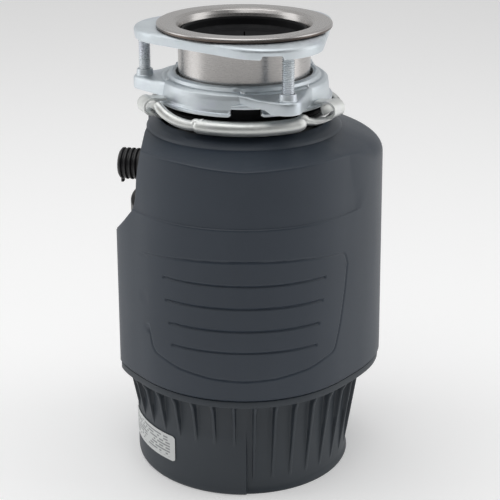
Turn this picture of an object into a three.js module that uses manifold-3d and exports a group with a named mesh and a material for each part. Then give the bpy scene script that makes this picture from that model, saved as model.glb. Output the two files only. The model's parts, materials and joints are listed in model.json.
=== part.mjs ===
// Kitchen garbage disposal: sink mount, grind chamber, motor and moulded housing.
// Millimetres, +Z up. The rotor turns about a vertical axis through x = 0, y = 0 of the inner group.
// Azimuths are in degrees: 0 is the front (-Y), 90 the right side (+X), -90 the left side.
import * as THREE from 'three';
import { mergeVertices } from 'three/addons/utils/BufferGeometryUtils.js';
import Module from 'manifold-3d';

const wasm = await Module();
wasm.setup();

// ---- driving dimensions ----
const GAP = 0.4;                       // clearance between touching pieces
const FINE = 28;                       // segments round the large visible pieces
const ROUND = 16;                      // segments round the inner pieces
const SMALL = 8;                       // segments round screws and rivets

const HEIGHT = 308;                    // base to the top of the sink flange
const RIM_R = 57.15;                   // sink flange, 4-1/2 in across
const NECK_R = 43.3;                   // sink flange neck, fits a 3-1/2 in drain hole
const NECK_BORE = 42.1;
const SCREW_R = 3.97;                  // five-sixteenth-inch mounting screw
const SCREW_BORE = SCREW_R + 0.35;
const SCREW_CIRCLE = 66;
const SCREW_TOP = 301.2;
const SCREW_BOTTOM = 263.8;
const EAR_AZIMUTHS = [24, 144, 264];
const SHEET = 2;                       // sheet metal of the clamp plate and ears
const PLATE_CORNER_R = 37.1;           // clamp plate: a triangle with broad round corners
const PLATE_CORNER_OUT = 35.5;         // from the axis to a corner's centre
const PLATE_TURN = -1.5;               // its corners stand a little left of the screws
const PLATE_SKIRT_Z = 297.4;
const CLAMP_TOP = 304.5;
const EAR_REACH = 73.6;
const EAR_HALF = 10;
const EAR_ROOT = 53.6;
const EAR_TOP = 270.8;
const EAR_BOTTOM = 262.6;
const EAR_FLANK_BOTTOM = 265.2;        // the left flanks clear the hooks of the turning ring
const EAR_FLANK_ANGLE = 50;
const LUG_AZIMUTHS = [55.5, 175.5, 295.5];
const LUG_R = 67.8;
const LUG_Z = 259.4;
const LUG_BARREL_R = 5.8;
const LUG_BORE = 4.5;
const LUG_HALF = 6.2;
const TURN_RING_R = 60;
const TURN_RING_Z = 252;
const BEAD_R = 4.7;

const WALL_R = 85.5;                   // shell, front wall
const WALL = 2.5;                      // shell thickness
const SEAM_Z = 75.6;                   // lower edge of the shell
const BAND_Z = 197.5;                  // lower edge of the recessed shoulder band
const BAND_DEPTH = 0.9;
const SHOULDER_Z = 231.4;              // shoulder edge at the front centre
const COLLAR_R = 65;
const COLLAR_Z = 239.4;
const COLLAR_TOP = 247;
const SHELL_HOLE_R = 55;
const WING_AZIMUTH = 97;
const WING_HALF = 48;
const WING_OUT = 10.6;
const SIDE_OUT = 3.7;                  // extra radius of the left side
const SIDE_FLAT_X = -85.7;
const SILL_Z = 174.5;                  // front lower end of the opening round the inlet
const SILL_SLOPE = 24;

const BASE_TOP_R = 77;
const BASE_FOOT_R = 74;
const RIM_BAND_Z = 70.4;
const FIN_COUNT = 36;
const FIN_THICK = 1.8;
const PAD_R = 76;
const FLOOR_Z = 5.5;
const FLOOR_THICK = 3;

const SHAFT_R = 7.5;
const STATOR_R = 62;
const STATOR_BORE = 31;
const STATOR_Z = [46, 94];
const ROTOR_R = 30.2;
const BOLT_CIRCLE = 54.5;
const BOLT_AZIMUTHS = [45, 135, 225, 315];
const BELL_TOP = 176.5;
const CHAMBER_R = 61.6;
const FLANGE_R = 76.8;
const FLANGE_SCREW_R = 72.6;
const FLANGE_SCREW_AZIMUTHS = [30, 120, 210, 300];
const PORT_Z = 151;
const PORT_BORE = 18.2;
const PORT_FACE_Y = 90;
const PLATE_Z = 181;
const PLATE_R = 60.4;
const LUG_PIVOT_R = 42;
const INLET_AZIMUTH = -102;
const INLET_Z = 206.2;
const INLET_BORE = 6.6;
const INLET_END = 86.5;

const RESET = { azimuth: 40, radius: 42, hole: 5.4 };
const CONDUIT = { azimuth: 150, radius: 46, hole: 11.1 };
const TERMINAL = { azimuth: 215, radius: 42, width: 34, depth: 22 };
const BASE_SCREW = { azimuths: [0, 100, 260], radius: 56, hole: 2.4 };

// ---- materials ----
const finish = (color, roughness, metalness = 0) =>
  new THREE.MeshStandardMaterial({ color, roughness, metalness });
const shellGrey = finish(0x424952, 0.48);
const baseGrey = finish(0x444b50, 0.6);
const blackPlastic = finish(0x17181a, 0.45);
const blackRubber = finish(0x111113, 0.8);
const stainless = finish(0xaaa5a2, 0.28, 1);
const zinc = finish(0xafbec8, 0.35, 1);
const paleZinc = finish(0xc8c8c5, 0.38, 1);
const castAlloy = finish(0x9a9c9e, 0.55, 1);
const steel = finish(0x7c7f82, 0.4, 1);
const laminations = finish(0x5b5e60, 0.6, 1);
const copper = finish(0xa9562c, 0.4, 1);
const bronze = finish(0x9a7440, 0.5, 1);
const fibre = finish(0x3b2417, 0.85);
const foam = finish(0x2b2d30, 0.95);
const labelWhite = finish(0xc9cbcb, 0.55);
const red = finish(0xb3201a, 0.4);
const green = finish(0x2f7d43, 0.4, 1);

// ---- geometry helpers ----
const rad = THREE.MathUtils.degToRad;
const { lerp, clamp, smoothstep } = THREE.MathUtils;

// A closed manifold solid from any closed three.js geometry.
function solid(geometry) {
  geometry.deleteAttribute('normal');
  geometry.deleteAttribute('uv');
  const merged = mergeVertices(geometry, 1e-4);
  const p = merged.getAttribute('position').array;
  const index = merged.index.array;
  const tris = [];
  let volume = 0;
  for (let i = 0; i < index.length; i += 3) {
    const [a, b, c] = [index[i], index[i + 1], index[i + 2]];
    if (a === b || b === c || c === a) continue;
    tris.push(a, b, c);
    const [u, v, w] = [a, b, c].map((k) => new THREE.Vector3().fromArray(p, 3 * k));
    volume += u.dot(v.cross(w));
  }
  if (volume < 0) tris.reverse();
  const mesh = new wasm.Mesh({
    numProp: 3, vertProperties: new Float32Array(p), triVerts: new Uint32Array(tris),
  });
  return new wasm.Manifold(mesh);
}

function geometryOf(body) {
  const mesh = body.getMesh();
  const geometry = new THREE.BufferGeometry();
  geometry.setAttribute('position', new THREE.BufferAttribute(mesh.vertProperties, 3));
  geometry.setIndex(new THREE.BufferAttribute(mesh.triVerts, 1));
  const flat = geometry.toNonIndexed();
  flat.computeVertexNormals();
  return flat;
}

const join = (bodies) => bodies.reduce((sum, body) => sum.add(body));
const cut = (body, tools) => tools.reduce((rest, tool) => rest.subtract(tool), body);

// Turned shape: [radius, z] points that close on themselves or start and end on the axis.
function turned(points, segments = ROUND) {
  const closed = points[0][0] === 0 ? points : [...points, points[0]];
  const profile = closed.map(([r, z]) => new THREE.Vector2(r, z));
  return new THREE.LatheGeometry(profile, segments).rotateX(Math.PI / 2);
}

const ring = (inner, outer, low, high, segments = ROUND) =>
  turned([[inner, low], [outer, low], [outer, high], [inner, high]], segments);

const rod = (radius, low, high, segments = SMALL) =>
  turned([[0, low], [radius, low], [radius, high], [0, high]], segments);

const box = (x, y, z, at) => new THREE.BoxGeometry(x, y, z).translate(...at);

// Turns a geometry that was drawn at the front to its azimuth.
const toAzimuth = (geometry, azimuth) => geometry.rotateZ(rad(azimuth));

// Lays a geometry drawn along +Z so that it points outwards at an azimuth and height.
const outward = (geometry, azimuth, z) =>
  toAzimuth(geometry.rotateX(Math.PI / 2), azimuth).translate(0, 0, z);

const polar = (radius, azimuth, z = 0) =>
  new THREE.Vector3(radius * Math.sin(rad(azimuth)), -radius * Math.cos(rad(azimuth)), z);

function outline(points) {
  return new THREE.Shape(points.map(([x, y]) => new THREE.Vector2(x, y)));
}

function slab(shape, low, high, curveSegments = 4) {
  const depth = high - low;
  const options = { depth, bevelEnabled: false, curveSegments };
  return new THREE.ExtrudeGeometry(shape, options).translate(0, 0, low);
}

// Plate standing in the plane of the axis, drawn in [radius, z], thickness centred on the front.
function fin(points, thickness) {
  const shape = outline(points.map(([r, z]) => [r, z]));
  const options = { depth: thickness, bevelEnabled: false };
  const plate = new THREE.ExtrudeGeometry(shape, options).translate(0, 0, -thickness / 2);
  return plate.rotateX(Math.PI / 2).rotateZ(-Math.PI / 2);
}

// Round bar along a curve.
function bar(points, radius, steps, sides = 8) {
  const section = new THREE.Shape().absarc(0, 0, radius, 0, 2 * Math.PI);
  const path = new THREE.CatmullRomCurve3(points);
  const options = { steps, extrudePath: path, curveSegments: sides / 2, bevelEnabled: false };
  return new THREE.ExtrudeGeometry(section, options);
}

// Tongue that points to the front, from an inner radius to a round end.
function tongue(inner, outer, halfWidth) {
  const centre = outer - halfWidth;
  const shape = new THREE.Shape();
  shape.moveTo(-halfWidth, -inner);
  shape.lineTo(-halfWidth, -centre);
  shape.absarc(0, -centre, halfWidth, Math.PI, 2 * Math.PI);
  shape.lineTo(halfWidth, -inner);
  return shape;
}

// Lobe that points to the front: a round end whose straight flanks run back to the axis's circle,
// where the flank's normal makes an angle with the lobe's own direction.
function flankedLobe(base, outer, halfWidth, angle) {
  const centre = outer - halfWidth;
  const root = 30;
  const [sine, cosine] = [Math.sin(angle), Math.cos(angle)];
  const spread = angle - Math.acos(Math.min(1, (centre * cosine + halfWidth) / base));
  const shape = new THREE.Shape();
  shape.moveTo(-root * Math.sin(spread), -root * Math.cos(spread));
  shape.lineTo(-base * Math.sin(spread), -base * Math.cos(spread));
  shape.lineTo(-halfWidth * sine, -centre - halfWidth * cosine);
  shape.absarc(0, -centre, halfWidth, 1.5 * Math.PI - angle, 1.5 * Math.PI + angle);
  shape.lineTo(base * Math.sin(spread), -base * Math.cos(spread));
  shape.lineTo(root * Math.sin(spread), -root * Math.cos(spread));
  return shape;
}

// ---- the assembly ----
const unit = new THREE.Group();

function add(name, body, material, position, azimuth = 0) {
  const geometry = body.isBufferGeometry ? geometryOf(solid(body)) : geometryOf(body);
  const mesh = new THREE.Mesh(geometry, material);
  mesh.name = name;
  if (position) mesh.position.copy(position);
  mesh.rotation.z = rad(azimuth);
  unit.add(mesh);
  return mesh;
}

// ---- sink mount ----
add('sink_flange', turned([
  [NECK_BORE, 264.5], [45.6, 264.5], [46, 266.4], [45.6, 268.3], [NECK_R, 268.5],
  [NECK_R, 303.5], [43.9, 305.4], [45, 306.4], [55.4, 306.4], [56.1, 305.2],
  [RIM_R, 305.2], [RIM_R, 307.1], [56.2, HEIGHT], [48.6, HEIGHT], [44.9, 306.9],
  [43.5, 305], [NECK_BORE, 302],
], FINE), stainless);

add('fibre_gasket', ring(45.6, 54.4, CLAMP_TOP + GAP, 305.9, FINE), fibre);

function clampOutline(inset) {
  const shape = new THREE.Shape();
  for (const azimuth of EAR_AZIMUTHS) {
    const heading = azimuth + PLATE_TURN;
    const at = polar(PLATE_CORNER_OUT, heading);
    const radius = PLATE_CORNER_R - inset;
    shape.absarc(at.x, at.y, radius, rad(heading - 150), rad(heading - 30));
  }
  return shape;
}

// Pressed clamp plate with a turned-down skirt, notched beside each screw.
function backupFlange() {
  const arcSteps = 12;
  const outer = solid(slab(clampOutline(0), PLATE_SKIRT_Z, CLAMP_TOP, arcSteps));
  const inner = solid(slab(clampOutline(SHEET), PLATE_SKIRT_Z - 1, CLAMP_TOP - 2.9, arcSteps));
  const throat = solid(rod(NECK_R + 0.9, PLATE_SKIRT_Z - 5, HEIGHT, FINE));
  const notches = EAR_AZIMUTHS.map((azimuth) =>
    solid(toAzimuth(box(13, 12, 5, [0, -69, PLATE_SKIRT_Z]), azimuth - 10)));
  return cut(outer, [inner, throat, ...notches]);
}
add('backup_flange', backupFlange(), zinc);

function mountingRing() {
  const pressed = solid(turned([
    [NECK_R + 0.9, 272.4], [NECK_R + 0.9, 275.4], [47.8, 276], [51.2, 273.6], [54.4, 271.9],
    [55.2, 268], [55.6, 262], [58, 261.6], [58, 259.8], [53.2, 259.8], [52.6, 268],
    [51.6, 270.2], [48.4, 271.6],
  ], FINE));
  const flank = rad(EAR_FLANK_ANGLE);
  const underside = EAR_TOP - SHEET - 0.2;
  const ears = [];
  const cuts = [];
  for (const azimuth of EAR_AZIMUTHS) {
    const at = polar(SCREW_CIRCLE, azimuth);
    ears.push(solid(toAzimuth(slab(tongue(EAR_ROOT, EAR_REACH, EAR_HALF), EAR_BOTTOM, EAR_TOP), azimuth)));
    const flanks = slab(flankedLobe(55, EAR_REACH, EAR_HALF, flank), EAR_FLANK_BOTTOM, EAR_TOP);
    const outsideSkirt = cut(solid(flanks), [solid(rod(EAR_ROOT, EAR_BOTTOM, EAR_TOP + 1, FINE))]);
    ears.push(outsideSkirt.rotate([0, 0, azimuth]));
    const full = solid(slab(flankedLobe(55, EAR_REACH, EAR_HALF, flank), EAR_BOTTOM, EAR_TOP));
    const leftHalf = solid(box(60, 180, 40, [-30, 0, EAR_TOP]));
    const rightFlank = cut(full, [leftHalf, solid(rod(EAR_ROOT, EAR_BOTTOM - 1, EAR_TOP + 1, FINE))]);
    ears.push(rightFlank.rotate([0, 0, azimuth]));
    ears.push(solid(rod(5.4, EAR_TOP - 1, 275, 16).translate(at.x, at.y, 0)));
    const hollow = slab(tongue(56.5, EAR_REACH - SHEET, EAR_HALF - SHEET), EAR_BOTTOM - 1, underside);
    cuts.push(solid(toAzimuth(hollow, azimuth)));
    const inside = flankedLobe(54.9, EAR_REACH - SHEET, EAR_HALF - SHEET, flank);
    const within = solid(slab(inside, EAR_BOTTOM - 1, underside));
    const besideSkirt = cut(within, [solid(rod(56.4, EAR_BOTTOM - 2, EAR_TOP, FINE))]);
    cuts.push(besideSkirt.rotate([0, 0, azimuth]));
    cuts.push(solid(rod(SCREW_BORE, 255, 280, 16).translate(at.x, at.y, 0)));
  }
  // Three entry windows let the lugs of the turning ring pass up through the skirt's lip.
  for (const azimuth of [1, 121, 241]) {
    cuts.push(solid(toAzimuth(box(19.6, 12, 8, [0, -56, 260.6]), azimuth)));
  }
  return cut(join([pressed, ...ears]), cuts);
}
add('mounting_ring', mountingRing(), zinc);

add('snap_ring', ring(NECK_R + GAP, 47, 268.9, 271.2, FINE), steel);

function mountingScrew() {
  const slot = box(9, 1.2, 2.4, [0, 0, SCREW_BOTTOM]);
  return cut(solid(rod(SCREW_R, SCREW_BOTTOM, SCREW_TOP)), [solid(slot)]);
}
EAR_AZIMUTHS.forEach((azimuth, i) =>
  add(`mounting_screw_${i + 1}`, mountingScrew(), zinc, polar(SCREW_CIRCLE, azimuth)));

function splashBaffle() {
  const sleeve = solid(turned([
    [41.5, 262], [41.5, 302.6], [39.6, 303.2], [39.3, 296.8], [37.6, 295.6], [8, 286.4],
    [8, 284.4], [37, 292.8], [39.3, 291], [39.3, 262],
  ], 24));
  const slits = [];
  for (let i = 0; i < 6; i++) {
    slits.push(solid(toAzimuth(box(0.9, 26, 20, [0, -20, 289]), i * 60)));
  }
  return cut(sleeve, slits);
}
add('splash_baffle', splashBaffle(), blackRubber);

add('mounting_gasket', turned([
  [46.7, 248], [50.6, 248], [50.6, 252.7], [54.2, 252.7], [54.2, 255.4], [51, 256.2],
  [51, 262.4], [49.4, 264.1], [43.4, 264.1], [43.4, 258.4], [46.7, 258.4],
], FINE), blackRubber);

function lowerMountingRing() {
  const parts = [solid(ring(51.3, 57.5, 249.8, 252, FINE))];
  const arc = (from, to, count, r, z) => {
    const points = [];
    for (let i = 0; i <= count; i++) {
      const t = i / count;
      const azimuth = lerp(from, to, t);
      points.push(polar(lerp(r[0], r[1], t), azimuth, lerp(z[0], z[1], t * t)));
    }
    return points;
  };
  const level = [TURN_RING_R, TURN_RING_R];
  const height = [TURN_RING_Z, TURN_RING_Z];
  for (let i = 0; i < 3; i++) {
    const turn = 120 * i;
    parts.push(solid(bar(arc(turn - 28, turn + 36, 6, level, height), BEAD_R, 7)));
    const left = arc(turn - 26, turn - 58.5, 4, [TURN_RING_R, 65.6], [TURN_RING_Z, 256.6]);
    parts.push(solid(bar(left, 2.9, 4, 6)));
    const right = arc(turn + 34, turn + 47.5, 3, [TURN_RING_R, 65.4], [TURN_RING_Z, 254.4]);
    parts.push(solid(bar(right, 3, 3, 6)));
  }
  const bores = [];
  for (const azimuth of LUG_AZIMUTHS) {
    const lay = (geometry) => toAzimuth(
      geometry.rotateY(Math.PI / 2).translate(0, -LUG_R, LUG_Z), azimuth);
    parts.push(solid(lay(rod(LUG_BARREL_R, -LUG_HALF, LUG_HALF, 14))));
    bores.push(solid(lay(rod(LUG_BORE, -LUG_HALF - 0.8, LUG_HALF + 0.8, 10))));
    // Hook plate from the barrel to just above the lip of the upper ring's skirt.
    const hook = [[56.4, 262.1], [62, 262.3], [66.5, 263.2], [66.5, 264.8], [61.6, 264.3], [56.4, 264.1]];
    parts.push(solid(toAzimuth(fin(hook, 9), azimuth)));
    const foot = [[57, 249.8], [63, 250.6], [68, 254.2], [63.4, 256.4], [57, 252]];
    parts.push(solid(toAzimuth(fin(foot, 9), azimuth)));
  }
  return cut(join(parts), bores);
}
add('lower_mounting_ring', lowerMountingRing(), paleZinc);

// ---- outer shell ----
// Bulge of the right-hand wing, 0 to 1.
function wing(azimuth) {
  const off = Math.abs(azimuth - WING_AZIMUTH);
  return off < WING_HALF ? 0.5 * (1 + Math.cos(Math.PI * off / WING_HALF)) : 0;
}

// The wing leans in as it rises and rounds over at the shoulder.
function wingDepth(z) {
  const rows = [[83, 1], [219.5, 0.745], [225, 0.62], [228.6, 0.42], [232, 0]];
  for (let i = 1; i < rows.length; i++) {
    const [z0, d0] = rows[i - 1];
    const [z1, d1] = rows[i];
    if (z <= z1) return lerp(d0, d1, clamp((z - z0) / (z1 - z0), 0, 1));
  }
  return 0;
}

const sideSpread = (azimuth) => smoothstep(Math.abs(azimuth + 90), 12, 38);

function smoothWall(azimuth, z) {
  const side = SIDE_OUT * (1 - sideSpread(azimuth));
  return WALL_R + WING_OUT * wing(azimuth) * wingDepth(z) + side;
}

// Radius of the shell's wall. Above BAND_Z the front carries a recessed band, which ends at
// the right in a flat facet that widens upwards.
function wallRadius(azimuth, z) {
  const rise = clamp((z - BAND_Z) / (SHOULDER_Z - BAND_Z), 0, 1);
  const bandEnd = lerp(59, 52, rise);
  const facetEnd = lerp(59, 71, rise);
  const inBand = z > BAND_Z + 0.1;
  if (inBand && azimuth > -60 && azimuth <= bandEnd) return smoothWall(azimuth, z) - BAND_DEPTH;
  if (inBand && azimuth > bandEnd && azimuth < facetEnd) {
    const t = (azimuth - bandEnd) / (facetEnd - bandEnd);
    return lerp(WALL_R - BAND_DEPTH, smoothWall(facetEnd, z), t);
  }
  return smoothWall(azimuth, z);
}

// The shoulder's edge dips to a soft V at the front and lifts towards the sides.
const shoulderLift = (azimuth) => 3.2 * smoothstep(Math.abs(azimuth), -12, 50);

function shellForm(inset) {
  const top = inset * 1.05;
  const profile = [[0, inset ? SEAM_Z - 5 : SEAM_Z], [WALL_R, inset ? SEAM_Z - 5 : SEAM_Z]];
  for (const z of inset ? [BAND_Z, 219.5] : [BAND_Z, BAND_Z + 1.2, 219.5, 226]) profile.push([WALL_R, z]);
  profile.push([WALL_R, SHOULDER_Z - top], [COLLAR_R, COLLAR_Z - top]);
  profile.push([COLLAR_R - 1, COLLAR_Z + 1.2 - top], [56, COLLAR_TOP - top], [0, COLLAR_TOP - top]);
  const form = turned(profile, inset ? FINE : 48);
  const position = form.getAttribute('position');
  for (let i = 0; i < position.count; i++) {
    const [x, y, z] = [position.getX(i), position.getY(i), position.getZ(i)];
    if (Math.hypot(x, y) < WALL_R - 1) continue;
    const azimuth = THREE.MathUtils.radToDeg(Math.atan2(x, -y));
    const edge = z > 228 - top;
    const edgeRadius = wallRadius(azimuth, SHOULDER_Z) - (azimuth > 60 && azimuth < 134 ? 0.8 : 0);
    const r = (edge ? edgeRadius : wallRadius(azimuth, z)) - inset;
    position.setXYZ(i, r * Math.sin(rad(azimuth)), -r * Math.cos(rad(azimuth)),
      edge ? z + shoulderLift(azimuth) * (1 - wing(azimuth)) : z);
  }
  return solid(form);
}

function outerShell() {
  const across = (points) => slab(outline(points.map(([x, z]) => [x, -z])), -120, 120)
    .rotateX(-Math.PI / 2);
  // The left side is sliced flat below, and open above, where the inlet comes out.
  const opening = [
    [-65, 238.6], [-66.5, 231], [-69, 216.5], [-69.6, 207], [-71.4, 196.5], [-73.6, 192.5],
    [-84.9, SILL_Z], [-130, SILL_Z], [-130, 238.6],
  ];
  const flat = (x) => [[x + 0.8, SILL_Z + 1], [x, 60], [-130, 60], [-130, SILL_Z + 1]];
  // The opening's sill runs down towards the back.
  const drop = [[-27, SILL_Z], [-27, 200], [60, 200], [60, SILL_Z - 87 * Math.tan(rad(SILL_SLOPE))]];
  const rearDrop = slab(outline(drop), -130, -70).rotateX(Math.PI / 2).rotateZ(Math.PI / 2);
  const slices = [across(opening), across(flat(SIDE_FLAT_X)), rearDrop];
  const outer = cut(shellForm(0), slices.map(solid));
  const inner = cut(shellForm(WALL), [solid(across(flat(SIDE_FLAT_X + WALL)))]);
  const collar = solid(turned([
    [SHELL_HOLE_R, 236.4], [COLLAR_R - WALL, 234], [COLLAR_R, 234], [COLLAR_R, COLLAR_Z],
    [COLLAR_R - 1, COLLAR_Z + 1.2], [SHELL_HOLE_R, 243],
  ], 36));
  const port = new THREE.Shape();
  port.moveTo(-42, -14);
  port.absarc(-32, -14, 10, Math.PI, 1.5 * Math.PI);
  port.absarc(32, -14, 10, 1.5 * Math.PI, 2 * Math.PI);
  port.absarc(32, 14, 10, 0, 0.5 * Math.PI);
  port.absarc(-32, 14, 10, 0.5 * Math.PI, Math.PI);
  const window = slab(port, -110, -60, 3).rotateX(Math.PI / 2).translate(0, 0, PORT_Z);
  const hollow = cut(outer, [inner, solid(window), solid(rod(SHELL_HOLE_R, 225, 260, FINE))]);
  return hollow.add(collar);
}
add('outer_shell', outerShell(), shellGrey);

// ---- finned base ----
const lowerRim = (azimuth) => wallRadius(azimuth, SEAM_Z) - 1;

function baseCover() {
  const rimMark = 84;
  const body = turned([
    [0, FLOOR_Z], [64, FLOOR_Z], [66, 0], [BASE_FOOT_R, 0], [72.8, 4], [BASE_TOP_R - 1, 54],
    [BASE_TOP_R + 0.6, RIM_BAND_Z - 1], [rimMark, RIM_BAND_Z], [rimMark, SEAM_Z - GAP],
    [74, SEAM_Z - GAP], [70, FLOOR_Z + FLOOR_THICK], [0, FLOOR_Z + FLOOR_THICK],
  ], 36);
  const position = body.getAttribute('position');
  for (let i = 0; i < position.count; i++) {
    const [x, y, z] = [position.getX(i), position.getY(i), position.getZ(i)];
    const r = Math.hypot(x, y);
    const azimuth = THREE.MathUtils.radToDeg(Math.atan2(x, -y));
    const flare = 1 - smoothstep(Math.abs(azimuth + 90), 8, 30);
    let out = r;
    if (r > rimMark - 1) out = lowerRim(azimuth);
    else if (z > 60 && r > BASE_TOP_R) out = r + 7 * flare;
    position.setXY(i, out * Math.sin(rad(azimuth)), -out * Math.cos(rad(azimuth)));
  }
  const parts = [solid(body)];
  const full = [[70.6, 12.6], [75, 13], [82, 68], [82, RIM_BAND_Z + 1], [75.5, RIM_BAND_Z + 1]];
  const short = [[72.5, 42], [77.4, 43], [82, 68], [82, RIM_BAND_Z + 1], [75.5, RIM_BAND_Z + 1]];
  for (let i = 0; i < FIN_COUNT; i++) {
    const azimuth = -175 + i * 360 / FIN_COUNT;
    const onPad = azimuth < 0 && azimuth > -90;
    parts.push(solid(toAzimuth(fin(onPad ? short : full, FIN_THICK), azimuth)));
  }
  // Smooth raised pad at the lower left front.
  const pad = new THREE.Shape();
  pad.absarc(0, 0, PAD_R, rad(-178), rad(-89));
  pad.absarc(0, 0, 71, rad(-89), rad(-178), true);
  parts.push(solid(slab(pad, 3, 45, 8)));
  const holes = [solid(rod(10.5, -1, 12, 20))];
  const drill = (spot, azimuth = spot.azimuth) => {
    const at = polar(spot.radius, azimuth);
    holes.push(solid(rod(spot.hole, -1, 12, 16).translate(at.x, at.y, 0)));
  };
  drill(RESET);
  drill(CONDUIT);
  for (const azimuth of BASE_SCREW.azimuths) drill(BASE_SCREW, azimuth);
  const access = box(TERMINAL.width - 8, TERMINAL.depth - 8, 8, [0, -TERMINAL.radius, 7]);
  holes.push(solid(toAzimuth(access, TERMINAL.azimuth)));
  const cut1 = [[SIDE_FLAT_X + 0.8, 60], [SIDE_FLAT_X + 0.8, 80], [-130, 80], [-130, 60]];
  const flat = slab(outline(cut1.map(([x, z]) => [x, -z])), -120, 120).rotateX(-Math.PI / 2);
  return cut(join(parts), [...holes, solid(flat)]);
}
add('base_cover', baseCover(), baseGrey);

function ratingLabel() {
  const sticker = new THREE.Shape();
  sticker.absarc(0, 0, PAD_R + 0.8, rad(-172), rad(-128));
  sticker.absarc(0, 0, PAD_R + GAP, rad(-128), rad(-172), true);
  return slab(sticker, 17, 36, 5);
}
add('rating_label', ratingLabel(), labelWhite);

// ---- grind chamber ----
function containerBody() {
  const shell = solid(turned([
    [66, 178.6], [FLANGE_R, 178.6], [FLANGE_R, 188.4], [68.6, 188.4], [68.6, 200], [65, 203],
    [64.4, 218], [58, 230], [49, 238.4], [46.3, 242], [46.3, 258], [43.2, 258], [43.2, 241],
    [54, 228], [60.6, 217], [CHAMBER_R, 202.4], [CHAMBER_R, 198.4], [66, 198.4],
  ], FINE));
  const cuts = [solid(outward(rod(8.3, 55, 72, 20), INLET_AZIMUTH, INLET_Z))];
  for (const azimuth of FLANGE_SCREW_AZIMUTHS) {
    const at = polar(FLANGE_SCREW_R, azimuth);
    cuts.push(solid(rod(2.6, 170, 195).translate(at.x, at.y, 0)));
  }
  return cut(shell, cuts);
}
add('container_body', containerBody(), blackPlastic);

function dishwasherInlet() {
  const points = [[INLET_BORE, 63], [7.9, 63], [7.9, 69.4], [12.4, 69.4], [12.4, 71.6], [9.8, 71.6]];
  for (const start of [74, 78, 82]) {
    points.push([9.8, start], [10.95, start + 1.1], [10.8, start + 3]);
  }
  points.push([9.4, INLET_END], [INLET_BORE, INLET_END]);
  const nipple = solid(outward(turned(points), INLET_AZIMUTH, INLET_Z));
  const tab = toAzimuth(box(4.6, 2, 5, [0, -INLET_END + 1.2, INLET_Z - 10.6]), INLET_AZIMUTH);
  return nipple.add(solid(tab));
}
add('dishwasher_inlet', dishwasherInlet(), blackPlastic);
add('inlet_plug', outward(rod(INLET_BORE - GAP, 64, 65.6, 20), INLET_AZIMUTH, INLET_Z), blackPlastic);

function chamberGasket() {
  const holes = FLANGE_SCREW_AZIMUTHS.map((azimuth) => {
    const at = polar(FLANGE_SCREW_R, azimuth);
    return solid(rod(2.6, 170, 195).translate(at.x, at.y, 0));
  });
  return cut(solid(ring(66.2, FLANGE_R - 0.4, 176.9, 178.2, FINE)), holes);
}
add('chamber_gasket', chamberGasket(), blackRubber);

function shredderRing() {
  const teeth = [];
  for (let i = 0; i < 15; i++) {
    teeth.push(solid(toAzimuth(box(6, 3.4, 16, [0, -61.4, 183]), i * 24)));
  }
  return cut(solid(ring(61.2, 65.5, 176.9, 198, FINE)), teeth);
}
add('shredder_ring', shredderRing(), stainless);

function shredderPlate() {
  const disc = solid(turned([
    [5.4, PLATE_Z - 6], [13, PLATE_Z - 6], [13, PLATE_Z - 2], [PLATE_R, PLATE_Z - 2],
    [PLATE_R, PLATE_Z], [5.4, PLATE_Z],
  ], FINE));
  const holes = [];
  for (const azimuth of [90, 270]) {
    const at = polar(LUG_PIVOT_R, azimuth);
    holes.push(solid(rod(3.4, 170, 190).translate(at.x, at.y, 0)));
  }
  for (let i = 0; i < 6; i++) {
    const at = polar(50, i * 60);
    holes.push(solid(rod(2.2, 170, 190, 8).translate(at.x, at.y, 0)));
  }
  return cut(disc, holes);
}
add('shredder_plate', shredderPlate(), stainless);

function swivelLug() {
  const foot = new THREE.Shape();
  foot.absarc(0, 0, 8, rad(90), rad(270));
  foot.lineTo(15, -6);
  foot.lineTo(15, 6);
  const upright = box(4, 10, 11, [13, 0, PLATE_Z + 6.2]);
  const body = join([solid(slab(foot, PLATE_Z + GAP, PLATE_Z + 4.4, 5)), solid(upright)]);
  return cut(body, [solid(rod(3.5, 170, 200))]);
}
const lugRivet = () => turned([
  [0, PLATE_Z - 4], [5.5, PLATE_Z - 4], [5.5, PLATE_Z - 2.3], [3, PLATE_Z - 2.3],
  [3, PLATE_Z + 4.8], [5.8, PLATE_Z + 4.8], [4, PLATE_Z + 6.6], [0, PLATE_Z + 6.8],
], SMALL);
[90, 270].forEach((azimuth, i) => {
  const at = polar(LUG_PIVOT_R, azimuth);
  add(`swivel_lug_${i + 1}`, swivelLug(), stainless, at, azimuth - 90);
  add(`lug_rivet_${i + 1}`, lugRivet(), steel, at);
});

const hexagon = (radius, low, high) => rod(radius, low, high, 6);
add('plate_nut', cut(solid(hexagon(9.5, PLATE_Z + GAP, PLATE_Z + 8)),
  [solid(rod(5.7, 170, 200))]), stainless);

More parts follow.
